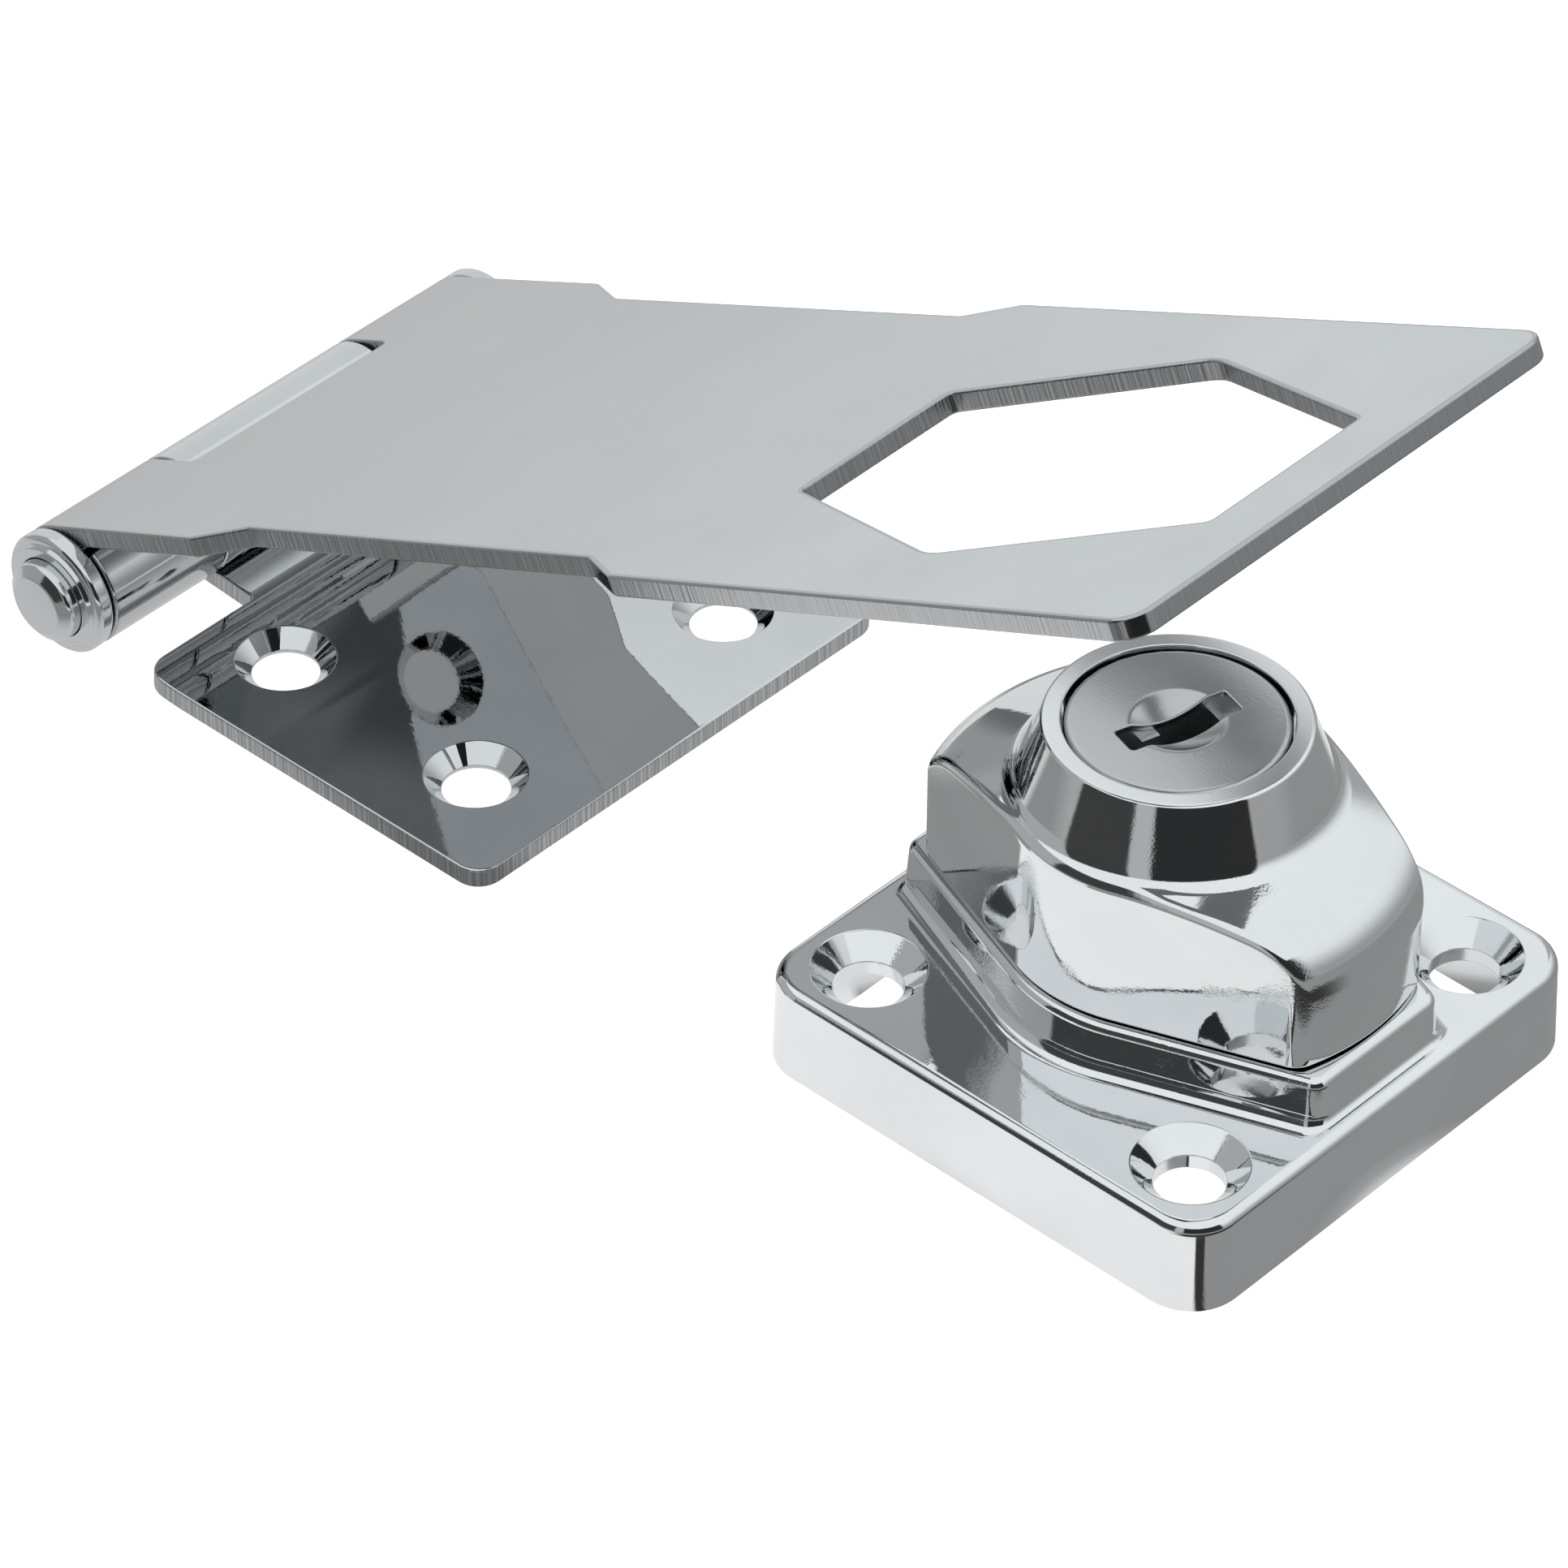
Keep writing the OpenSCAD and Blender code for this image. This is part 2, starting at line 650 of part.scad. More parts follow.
// The bolt that the plug's pin throws out of the neck into a pocket of the base. Its tip
// is round about the lock's axis, so that it turns inside the bearing when drawn in.
module locking_bolt() {
    pin_x = crank_r * cos(crank_a);
    pin_y = crank_r * sin(crank_a);
    tail = plug_r - 1;
    slot_w = crank_d + 2 * bolt_clear;
    color("lightsteelblue") difference() {
        translate([0, 0, bolt_z]) linear_extrude(height = bolt_t) intersection() {
            circle(bolt_tip);
            translate([-bolt_tip, -bolt_w / 2]) square([bolt_tip + tail, bolt_w]);
        }
        translate([0, 0, bolt_z - over]) linear_extrude(height = bolt_t + 2 * over)
            translate([pin_x, 0]) {
                translate([0, pin_y]) circle(d = slot_w);
                translate([0, crank_r]) circle(d = slot_w);
                translate([-slot_w / 2, pin_y]) square([slot_w, crank_r - pin_y]);
            }
    }
}

// Direction of the keyway and everything that goes with it
module on_keyway() {
    rotate(keyway_angle) children();
}

// The plug: flange, barrel with wafer slots, warded keyway, and the pin that drives the bolt
module plug() {
    color("darkgray") difference() {
        union() {
            translate([0, 0, plug_end]) cylinder(r = plug_r, h = flange_top - plug_end);
            translate([0, 0, flange_top - flange_h])
                cylinder(d = face_d - 2 * cap_t, h = flange_h);
            translate([crank_r * cos(crank_a), crank_r * sin(crank_a), bolt_z + 0.1])
                cylinder(d = crank_d, h = plug_end - bolt_z);
        }
        on_keyway() {
            translate([0, 0, first_wafer_z - 1.2]) linear_extrude(height = lock_h) difference() {
                translate([-keyway_len / 2, -keyway_w / 2]) square([keyway_len - 1.1, keyway_w]);
                translate([ward_off - ward_w / 2, keyway_w / 2 - ward_t]) square([ward_w, ward_t + over]);
            }
            translate([-keyway_len / 2, -keyway_w / 2, flange_top - 0.8])
                cube([keyway_len, keyway_w, lock_h]);
            for (i = [0:wafer_count - 1]) translate([0, 0, first_wafer_z + i * wafer_pitch])
                wafer_room();
        }
        translate([0, 0, face_z + dish_r - dish_depth]) sphere(r = dish_r + cap_t);
        translate([0, 0, ledge_z - plug_ring_t - 0.15])
            ring(plug_r + over, plug_r - 0.6, plug_ring_t + 0.1);
    }
}

// Slot for one wafer, with the side pocket for its spring, underside at z = 0
module wafer_room() {
    h = wafer_t + 2 * wafer_clear;
    w = wafer_w + 2 * wafer_clear;
    translate([-plug_r - over, -w / 2, -wafer_clear]) cube([2 * plug_r + 2 * over, w, h]);
    translate([spring_from, w / 2 - over, -wafer_clear])
        cube([wing_from + wing_t + 0.3 - spring_from, spring_off - w / 2 + over + spring_room / 2, h]);
}

// Wafer number i, counted from below: a plate with a window for the key and a wing
// that its spring pushes on
module wafer(i) {
    shift = [0.25, -0.2, 0.1, -0.3, 0.2][i];
    color("silver") on_keyway() translate([0, 0, first_wafer_z + i * wafer_pitch])
        linear_extrude(height = wafer_t) difference() {
            union() {
                intersection() {
                    circle(wafer_len / 2);
                    square([wafer_len, wafer_w], center = true);
                }
                translate([wing_from, 0]) square([wing_t, spring_off + 0.65]);
            }
            translate([shift, 0]) square([keyway_len - 0.6, keyway_w + 0.2], center = true);
        }
}

module wafer_1() { wafer(0); }
module wafer_2() { wafer(1); }
module wafer_3() { wafer(2); }
module wafer_4() { wafer(3); }
module wafer_5() { wafer(4); }

// Coil spring beside wafer number i: a round wire swept along a helix
module wafer_spring(i) {
    turns = 5;
    per_turn = 12;
    sides = 6;
    wire_r = 0.13;
    coil_r = 0.55;
    len = wing_from - spring_from - 2 * wire_r - 0.06;
    n = turns * per_turn;
    pts = [for (k = [0:n]) let (a = 360 * k / per_turn, x = len * k / n)
        each [for (j = [0:sides - 1]) let (b = 360 * j / sides, r = coil_r + wire_r * cos(b))
            [x + wire_r * sin(b), r * cos(a), r * sin(a)]]];
    caps = [[for (j = [sides - 1:-1:0]) j], [for (j = [0:sides - 1]) n * sides + j]];
    walls = [for (k = [0:n - 1], j = [0:sides - 1])
        let (a = k * sides + j, b = k * sides + (j + 1) % sides)
        [a, b, b + sides, a + sides]];
    color("dimgray") on_keyway()
        translate([spring_from + wire_r + 0.03, spring_off,
                   first_wafer_z + i * wafer_pitch + wafer_t / 2])
            polyhedron(points = pts, faces = concat(caps, walls));
}

module wafer_spring_1() { wafer_spring(0); }
module wafer_spring_2() { wafer_spring(1); }
module wafer_spring_3() { wafer_spring(2); }
module wafer_spring_4() { wafer_spring(3); }
module wafer_spring_5() { wafer_spring(4); }

// Open ring that keeps the plug in the head
module plug_ring() {
    gap = 4;
    color("lightsteelblue") translate([0, 0, ledge_z - plug_ring_t - 0.1]) difference() {
        ring(cavity_r - 0.15, plug_r - 0.55, plug_ring_t);
        translate([0, -gap / 2, -over]) cube([plug_d, gap, plug_ring_t + 2 * over]);
    }
}

// Thin pressed cap on the plug's flange: rounded rim, dished middle, slot for the key
module face_cap() {
    edge = 0.5;
    r = face_d / 2;
    inner = r - cap_t;
    bottom = flange_top - flange_h + 0.1;
    color("gainsboro") difference() {
        union() {
            difference() {
                rotate_extrude() polygon(concat(
                    [[0, flange_top], [inner, flange_top], [inner, bottom], [r, bottom]],
                    arc([r - edge, face_z - edge], edge, 0, 90, 5), [[0, face_z]]));
                translate([0, 0, face_z + dish_r - dish_depth]) sphere(r = dish_r);
            }
            intersection() {
                translate([0, 0, face_z + dish_r - dish_depth]) difference() {
                    sphere(r = dish_r + cap_t - 0.02);
                    sphere(r = dish_r);
                }
                translate([0, 0, face_z - dish_depth - cap_t])
                    cylinder(r = inner, h = dish_depth + cap_t);
            }
        }
        on_keyway() translate([0, 0, face_z - 3])
            linear_extrude(height = 4) rounded_box_2d(keyway_len, keyway_w, 0.25);
    }
}

hinge_leaf();
hasp_strap();
hinge_pin();
pin_washer_near();
pin_washer_far();
lock_base();
wave_washer();
lock_head();
stop_washer();
retaining_ring();
bolt_cover();
locking_bolt();
plug();
plug_ring();
face_cap();
wafer_1();
wafer_2();
wafer_3();
wafer_4();
wafer_5();
wafer_spring_1();
wafer_spring_2();
wafer_spring_3();
wafer_spring_4();
wafer_spring_5();
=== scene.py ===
import math
import bpy
import numpy as np
from mathutils import Matrix, Vector
from mathutils.geometry import delaunay_2d_cdt


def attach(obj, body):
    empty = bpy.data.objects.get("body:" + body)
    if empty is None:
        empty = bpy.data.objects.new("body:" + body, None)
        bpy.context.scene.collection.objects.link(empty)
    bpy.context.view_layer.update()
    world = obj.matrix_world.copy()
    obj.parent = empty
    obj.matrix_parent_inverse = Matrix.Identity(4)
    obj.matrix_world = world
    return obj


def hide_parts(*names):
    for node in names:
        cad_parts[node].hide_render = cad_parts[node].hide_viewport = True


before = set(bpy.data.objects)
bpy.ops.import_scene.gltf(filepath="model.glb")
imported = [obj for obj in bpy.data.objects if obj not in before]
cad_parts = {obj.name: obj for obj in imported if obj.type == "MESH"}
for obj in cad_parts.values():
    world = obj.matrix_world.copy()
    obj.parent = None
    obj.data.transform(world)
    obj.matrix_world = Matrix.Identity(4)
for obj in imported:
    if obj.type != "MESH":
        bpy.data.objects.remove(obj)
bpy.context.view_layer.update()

# Shapes are worked out in millimetres and go into the meshes in metres
mm = 0.001
up = np.array([0.0, 0.0, 1.0])


# Outlines and profiles

# Points and outward normals along a path whose corners are rounded.
# A corner is (x, y, radius): straight runs end at the tangent points, and the arc between
# them is centre + radius * (cos, sin). The normal is to the right of the way of travel.
def roundedPath(corners, closed=True, steps=6, longest=None):
    corners = np.array(corners, float)
    pts, nrm = [], []
    count = len(corners)
    for i, (x, y, r) in enumerate(corners):
        here = np.array([x, y])
        if not closed and i in (0, count - 1):
            other = corners[1, :2] if i == 0 else corners[-2, :2]
            way = (other - here) if i == 0 else (here - other)
            way = way / np.linalg.norm(way)
            pts.append(here[None])
            nrm.append(np.array([[way[1], -way[0]]]))
            continue
        back = here - corners[i - 1, :2]
        ahead = corners[(i + 1) % count, :2] - here
        back, ahead = back / np.linalg.norm(back), ahead / np.linalg.norm(ahead)
        turn = math.atan2(back[0] * ahead[1] - back[1] * ahead[0], back @ ahead)
        side = math.copysign(1.0, turn)
        start = here - back * r * math.tan(abs(turn) / 2)
        left = np.array([-back[1], back[0]])
        centre = start + left * r * side
        a = np.linspace(0.0, turn, max(2, int(steps * abs(turn) / (math.pi / 2)) + 1))
        cosA, sinA = np.cos(a)[:, None], np.sin(a)[:, None]
        out = -left * cosA + back * sinA              # the normal, turned along the arc
        pts.append(centre + side * r * out)
        nrm.append(out)
    pts, nrm = np.concatenate(pts), np.concatenate(nrm)
    return subdivided(pts, nrm, closed, longest) if longest else (pts, nrm)


# The same path with its long straight runs cut into steps no longer than longest
def subdivided(pts, nrm, closed, longest):
    nextPts = np.roll(pts, -1, 0) if closed else pts[1:]
    nextNrm = np.roll(nrm, -1, 0) if closed else nrm[1:]
    here, hereNrm = pts[:len(nextPts)], nrm[:len(nextPts)]
    cuts = np.maximum(1, np.ceil(np.linalg.norm(nextPts - here, axis=1) / longest)).astype(int)
    which = np.repeat(np.arange(len(cuts)), cuts)
    part = (np.arange(cuts.sum()) - np.repeat(np.cumsum(cuts) - cuts, cuts)) / cuts[which]
    newPts = here[which] + (nextPts - here)[which] * part[:, None]
    newNrm = unit(hereNrm[which] + (nextNrm - hereNrm)[which] * part[:, None])
    if not closed:
        newPts, newNrm = np.vstack([newPts, pts[-1]]), np.vstack([newNrm, nrm[-1]])
    return newPts, newNrm


def unit(v):
    return v / np.maximum(np.linalg.norm(v, axis=-1, keepdims=True), 1e-12)


# Soft step from 0 to 1 as value passes from low to high
def ramp(value, low, high):
    t = np.clip((value - low) / (high - low), 0, 1)
    return t * t * (3 - 2 * t)


# Circle about (x, y), anticlockwise, or clockwise where it bounds a hole
def circlePath(x, y, r, steps=48, hole=False):
    a = np.arange(steps) / steps * 2 * math.pi * (-1 if hole else 1)
    out = np.stack([np.cos(a), np.sin(a)], 1)
    return np.array([x, y]) + r * out, (-out if hole else out)


# Part of a circle about the lock's axis, anticlockwise from start to stop in degrees, or
# clockwise where it bounds a hole. Points lie on a common set of angles, so that walls above
# each other share their points.
def arcPath(r, start, stop, marks, hole=False):
    common = np.concatenate([np.arange(0, 720, 3.75), np.asarray(marks) % 360, np.asarray(marks) % 360 + 360])
    a = np.unique(np.round(common, 6))
    a = np.radians(a[(a > start - 1e-5) & (a < stop + 1e-5)])
    out = np.stack([np.cos(a), np.sin(a)], 1)
    return (r * out[::-1], -out[::-1]) if hole else (r * out, out)


# Straight run of a path, with its normal to the right of the way of travel
def straightPath(start, stop):
    way = unit(np.subtract(stop, start).astype(float))
    return np.array([start, stop], float), np.tile([way[1], -way[0]], (2, 1))


# Paths joined end to end into one
def joinedPaths(*paths):
    return np.concatenate([p for p, _ in paths]), np.concatenate([n for _, n in paths])


# Upright wall along an open or closed path, from one height to another
def wallOn(path, low, high, closed=False):
    return carried(path, roundedPath([(0, low, 0), (0, high, 0)], closed=False), closed=closed)


# A loop's points without the repeats that sharp corners have
def outlineOf(path):
    pts = path[0]
    return pts[np.linalg.norm(pts - np.roll(pts, 1, 0), axis=1) > 1e-6]


# Downward facing area between a path and another that runs the same way beside it
def areaBetween(path, beside, z):
    loop = joinedPaths(path, (beside[0][::-1], beside[1]))
    return flatArea([outlineOf(loop)], z, -1)


# Patches: points, normals and faces of one smooth stretch of surface

# Faces of a grid of rows by columns of points; a closed direction joins its end to its start
def gridFaces(rows, cols, closeRows=False, closeCols=False):
    i = np.arange(rows if closeRows else rows - 1)[:, None]
    j = np.arange(cols if closeCols else cols - 1)[None, :]
    iNext, jNext = (i + 1) % rows, (j + 1) % cols
    quads = [i * cols + j, iNext * cols + j, iNext * cols + jNext, i * cols + jNext]
    return np.stack(np.broadcast_arrays(*quads), -1).reshape(-1, 4)


# Profile carried along a path: point = path + out * path normal, height z, where the
# profile gives (out, z) and runs upwards. Each point also knows how far along the path it is.
def carried(path, profile, closed=True, outScale=None):
    (pts, nrm), (prof, profNrm) = path, profile
    scale = np.ones(len(pts)) if outScale is None else outScale
    out = prof[None, :, :1] * scale[:, None, None]
    xy = pts[:, None] + nrm[:, None] * out
    z = np.broadcast_to(prof[None, :, 1:], xy.shape[:2] + (1,))
    flat = nrm[:, None] * profNrm[None, :, :1]
    normals = np.concatenate([flat, np.broadcast_to(profNrm[None, :, 1:], z.shape)], -1)
    grid = np.concatenate([xy, z], -1)
    reach = np.concatenate([[0], np.cumsum(np.linalg.norm(np.diff(pts, axis=0), axis=1))])
    return dict(points=grid.reshape(-1, 3), normals=unit(normals).reshape(-1, 3),
                faces=gridFaces(len(pts), len(prof), closeRows=closed), grid=grid,
                along=np.repeat(reach, len(prof)))


# Patch from a grid of points whose rows close round the axis
def gridPatch(points, normals, flip=True):
    faces = gridFaces(*points.shape[:2], closeRows=True)
    faces = faces[:, ::-1] if flip else faces
    return dict(points=points.reshape(-1, 3), normals=normals.reshape(-1, 3), faces=faces)


# Profile turned about the z axis: point = (out * cos, out * sin, z), where the profile
# runs upwards on the outside
def turned(profile, steps=96):
    a = np.arange(steps) / steps * 2 * math.pi
    radial = np.stack([np.cos(a), np.sin(a)], 1)
    return carried((np.zeros((steps, 2)), radial), profile)


# For each triangle, the one on the other side of its longest side, or -1 at the outside
def acrossLongest(tris, points):
    sides = np.sort(np.stack([tris[:, [0, 1]], tris[:, [1, 2]], tris[:, [2, 0]]], 1), axis=2)
    lengths = np.linalg.norm(points[sides[..., 0]] - points[sides[..., 1]], axis=2)
    key = (sides[..., 0] * len(points) + sides[..., 1]).reshape(-1)
    order = np.argsort(key, kind="stable")
    same = key[order[1:]] == key[order[:-1]]
    other = np.full(len(key), -1)
    other[order[:-1][same]] = order[1:][same] // 3
    other[order[1:][same]] = order[:-1][same] // 3
    return other.reshape(-1, 3)[np.arange(len(tris)), lengths.argmax(1)], lengths.max(1)


# Flat area between closed loops at one height, filled by constrained triangles
def flatArea(loops, z, facing=1, inner=None):
    pts = np.concatenate([*loops, *([] if inner is None else [inner])])
    starts = np.cumsum([0] + [len(l) for l in loops])
    edges = [(start + i, start + (i + 1) % len(loop))
             for start, loop in zip(starts, loops) for i in range(len(loop))]
    out, _, tris, origin, _, _ = delaunay_2d_cdt(
        [Vector(p) for p in pts], [tuple(map(int, e)) for e in edges], [], 0, 1e-7)
    out = np.array([tuple(v) for v in out], float)
    known = [i for i, o in enumerate(origin) if o]
    out[known] = pts[[origin[i][0] for i in known]]
    tris = np.array([t for t in tris if len(t) == 3])
    p, q, r = out[tris[:, 0]], out[tris[:, 1]], out[tris[:, 2]]
    area = (q - p)[:, 0] * (r - p)[:, 1] - (q - p)[:, 1] * (r - p)[:, 0]
    # A triangle is kept where a line to the right from its middle crosses the loops an odd
    # number of times. One that is almost a line is kept with its neighbour.
    centre = (p + q + r) / 3
    a, b = pts[[e[0] for e in edges]], pts[[e[1] for e in edges]]
    over = (a[None, :, 1] > centre[:, None, 1]) != (b[None, :, 1] > centre[:, None, 1])
    rise = np.where(np.abs(b[:, 1] - a[:, 1]) < 1e-12, 1e-12, b[:, 1] - a[:, 1])
    cross = a[None, :, 0] + (centre[:, None, 1] - a[None, :, 1]) / rise * (b - a)[None, :, 0]
    inside = ((over & (cross > centre[:, None, 0])).sum(1) % 2) == 1
    beside, longest = acrossLongest(tris, out)
    like = np.where(np.abs(area) < 1e-3 * longest, beside, np.arange(len(tris)))
    for _ in range(7):                                # chains of them: each pass doubles the reach
        like = np.where(like < 0, -1, like[like])
    inside = (like >= 0) & inside[like]
    tris, area = tris[inside], area[inside]
    tris = np.where((area * facing < 0)[:, None], tris[:, ::-1], tris)
    points = np.column_stack([out, np.full(len(out), float(z))])
    return dict(points=points, normals=np.tile(up * facing, (len(points), 1)), faces=tris)


# A patch taken through a mapping of space; its normals follow by a small step along each
def mapped(patch, mapping):
    points, step = patch["points"], 1e-4
    moved = mapping(points)
    return dict(patch, points=moved, normals=unit(mapping(points + patch["normals"] * step) - moved))


# Marks a plate's cut edges as sheared, all but the small rounds at both faces
def shearedEdge(patch):
    return dict(patch, sheared=ramp(np.abs(patch["normals"][:, 2]), 0.9, 0.3))


# Meshes

# One object from patches: points that coincide are joined, faces that vanish are dropped,
# and every corner keeps its patch's own normal
def makePiece(name, patches, body, replaced, material):
    points = np.concatenate([p["points"] for p in patches]) * mm
    normals = np.concatenate([p["normals"] for p in patches])
    starts = np.cumsum([0] + [len(p["points"]) for p in patches])
    tris = []
    for p, start in zip(patches, starts):
        f = p["faces"] + start
        tris.append(f if f.shape[1] == 3 else np.concatenate([f[:, [0, 1, 2]], f[:, [0, 2, 3]]]))
    tris = np.concatenate(tris)
    _, first, same = np.unique(np.round(points / 2e-8).astype(np.int64), axis=0,
                               return_index=True, return_inverse=True)
    same = same.reshape(-1)
    joined = same[tris]
    real = (joined[:, 0] != joined[:, 1]) & (joined[:, 1] != joined[:, 2]) & (joined[:, 2] != joined[:, 0])
    tris, joined = tris[real], joined[real]
    mesh = bpy.data.meshes.new(name)
    mesh.from_pydata(points[first].tolist(), [], joined.tolist())
    mesh.polygons.foreach_set("use_smooth", np.ones(len(joined), bool))
    mesh.normals_split_custom_set(normals[tris.reshape(-1)].tolist())
    for finish in ("satin", "sheared", "along"):
        values = np.concatenate([np.broadcast_to(p.get(finish, 0.0), len(p["points"])) for p in patches])
        corners = mesh.attributes.new(finish, "FLOAT", "CORNER")
        corners.data.foreach_set("value", values[tris.reshape(-1)].astype(np.float32))
    mesh.materials.append(material)
    mesh.validate(clean_customdata=False)
    piece = bpy.data.objects.new(name, mesh)
    bpy.context.collection.objects.link(piece)
    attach(piece, body)
    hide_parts(*replaced)
    print("made", name, len(joined), "triangles")


# Materials

# New material and its node tree, for the stage without the usual shader
def newMaterial(name, forStage=False):
    material = bpy.data.materials.new(name)
    material.use_nodes = True
    if forStage:
        material.node_tree.nodes.remove(material.node_tree.nodes["Principled BSDF"])
    return material, material.node_tree


# Adds a shader node. Each input that is given a socket is linked to it, and the rest are set.
def addNode(tree, kind, inputs, **settings):
    node = tree.nodes.new("ShaderNode" + kind)
    for key, value in settings.items():
        setattr(node, key, value)
    for key, value in inputs.items():
        if isinstance(value, bpy.types.NodeSocket):
            tree.links.new(value, node.inputs[key])
        else:
            node.inputs[key].default_value = value
    return node


def mathNode(tree, operation, *values):
    return addNode(tree, "Math", dict(enumerate(values)), operation=operation).outputs[0]


def attribute(tree, name):
    return addNode(tree, "Attribute", {}, attribute_name=name).outputs["Fac"]


def mixed(tree, amount, one, other):
    return addNode(tree, "Mix", {"A": one, "B": other, "Factor": amount}, data_type="RGBA").outputs["Result"]


# A colour made darker or lighter, as a socket takes it
def shaded(colour, factor=1.0):
    return (*(min(1.0, c * factor) for c in colour), 1)


# Marks across a sheared edge: spacing in millimetres, lean in degrees, and how dull the edge is
# between the lowest and the highest of the noise
shearLook = dict(spacing=0.28, lean=12, rougher=0.26, tone=0.5, noise=(0.42, 0.62), dull=(1.0, 0.45))


# Plated metal. Large soft clouds shift its sheen and tone a little. Its surface has a slow wave
# of several millimetres, a fine grain, and patches where the grain is coarser. A surface that
# the mesh marks as satin is rougher by the given amount. Where an under colour is given, the less
# a surface is marked satin, the more its colour goes to that darker colour: painted shade, such as
# for an underside. A sheared edge is dull and dark, with marks across the plate that lie at random
# places along the edge.
def platedMetal(name, colour, roughness=0.08, spread=0.02, tint=0.03, wave=0.4, waveSize=7.0,
                grain=0.3, grainSize=0.35, patch=0.0, patchSize=5.0, satin=0.0, under=None, shear=False):
    material, tree = newMaterial(name)
    place = addNode(tree, "TexCoord", {}).outputs["Object"]

    def noise(size, detail):                     # size of a fleck in millimetres
        flecks = addNode(tree, "TexNoise", {"Vector": place, "Scale": 1 / (size * mm), "Detail": detail})
        return flecks.outputs["Fac"]

    def remap(value, low, high, toLow, toHigh):
        ends = {"From Min": low, "From Max": high, "To Min": toLow, "To Max": toHigh}
        return addNode(tree, "MapRange", {"Value": value, **ends}).outputs["Result"]

    # Leans the surface by about the given degrees, over flecks of the given size
    def lean(height, size, degrees, amount=1.0, before=None):
        inputs = {"Height": height, "Strength": amount, "Distance": math.radians(degrees) * size * mm}
        if before:
            inputs["Normal"] = before
        return addNode(tree, "Bump", inputs).outputs["Normal"]

    cloud = noise(11, 4)
    sheen = remap(cloud, 0.3, 0.7, roughness - spread, roughness + spread)
    tone = mixed(tree, remap(cloud, 0.35, 0.65, 0, 1), shaded(colour, 1 - tint), shaded(colour, 1 + tint))
    if satin:
        sheen = mathNode(tree, "ADD", sheen, mathNode(tree, "MULTIPLY", attribute(tree, "satin"), satin))
    # Painted shade: what is marked less satin takes the darker under colour
    if under:
        tone = mixed(tree, attribute(tree, "satin"), shaded(under), tone)
    normal = lean(noise(waveSize, 1), waveSize, wave)
    normal = lean(noise(grainSize, 2), grainSize, grain, before=normal)
    if patch:
        where = remap(noise(patchSize, 2), 0.54, 0.7, 0, 1)
        normal = lean(noise(grainSize / 2, 2), grainSize / 2, patch, where, normal)
    if shear:
        c = shearLook
        sheared = attribute(tree, "sheared")
        along = mathNode(tree, "MULTIPLY", attribute(tree, "along"), 1 / c["spacing"])
        marks = addNode(tree, "TexNoise", {"W": along, "Scale": 1.0, "Detail": 3}, noise_dimensions="1D")
        dull = mathNode(tree, "MULTIPLY", sheared, remap(marks.outputs["Fac"], *c["noise"], *c["dull"]))
        sheen = mathNode(tree, "ADD", sheen, mathNode(tree, "MULTIPLY", sheared, c["rougher"]))
        tone = mixed(tree, dull, tone, shaded(colour, c["tone"]))
        normal = lean(marks.outputs["Fac"], c["spacing"], c["lean"], sheared, normal)
    shader = tree.nodes["Principled BSDF"]
    shader.inputs["Metallic"].default_value = 1.0
    for socket, value in (("Roughness", sheen), ("Base Color", tone), ("Normal", normal)):
        tree.links.new(value, shader.inputs[socket])
    return material


plateTone, castTone = (0.67, 0.685, 0.693), (0.79, 0.805, 0.812)
finishes = dict(
    # The strap's under colour is painted shade, for its underside, its edges and its top near the hinge
    strap=platedMetal("chrome_strap", plateTone, 0.025, 0.01, wave=0.12, waveSize=14, grain=0.2,
                      satin=0.12, under=(0.49, 0.5, 0.507), shear=True),
    leaf=platedMetal("chrome_leaf", plateTone, 0.02, 0.008, wave=0.12, waveSize=16, grain=0.1, shear=True),
    pin=platedMetal("chrome_pin", plateTone, 0.09, 0.03, wave=0.4, grain=0.6, patch=1.5),
    casting=platedMetal("chrome_casting", castTone, 0.045, 0.018, wave=0.3, waveSize=9, grain=0.3,
                        patch=2.4, satin=0.2),
    face=platedMetal("satin_face", (0.54, 0.55, 0.557), 0.25, 0.04, wave=0.3, grain=1.5, grainSize=0.2),
    zinc=platedMetal("bare_zinc", (0.6, 0.61, 0.62), 0.34, 0.06, 0.08, wave=0.8, grain=3.0),
    nickel=platedMetal("nickel_wafers", (0.55, 0.545, 0.53), 0.28, 0.05, 0.06, grain=2.0),
    steel=platedMetal("zinc_steel", (0.52, 0.54, 0.56), 0.3, 0.05, 0.05, grain=2.0),
)


# Hinge

hinge = dict(x=-85.5, openAngle=24.5, pinR=3.1, boreR=3.15, knuckleW=19.2, knuckleGap=0.2, width=41.3)
leafShape = dict(thick=1.6, length=40.7, edge=7.0, corner=2.0, bend=10.5, bendAngle=4.0, bendRun=0.6,
                 tongueHalf=9.6, rootR=0.5, tongueR=0.45, holesX=(32.6, 13.55), holesY=12.7, holeR=2.45,
                 sinkR=3.7, rim=0.22, sinkRim=0.18, bendSpan=2.4)
tilt = math.radians(leafShape["bendAngle"])
leafR = hinge["boreR"] + leafShape["thick"]
hingeZ = leafR / math.cos(tilt) + leafShape["bend"] * math.tan(tilt)
curlTurn = math.radians(306.5)


# The flat strap blank, in (distance from the hinge axis, along the pin, height above the
# underside), taken to its place: behind the axis it winds round the pin, at radius
# bore + height and angle = distance / mid radius, and the whole is then swung open
def strapPlace(p):
    s, y, t = p[:, 0], p[:, 1], p[:, 2]
    mid = hinge["boreR"] + strapShape["thick"] / 2
    wind = np.maximum(-s, 0) / mid
    radius = hinge["boreR"] + t
    x = np.maximum(s, 0) - radius * np.sin(wind)
    z = radius * np.cos(wind)
    a = math.radians(hinge["openAngle"])
    return np.column_stack([hinge["x"] + x * math.cos(a) - z * math.sin(a), y,
                            hingeZ + x * math.sin(a) + z * math.cos(a)])


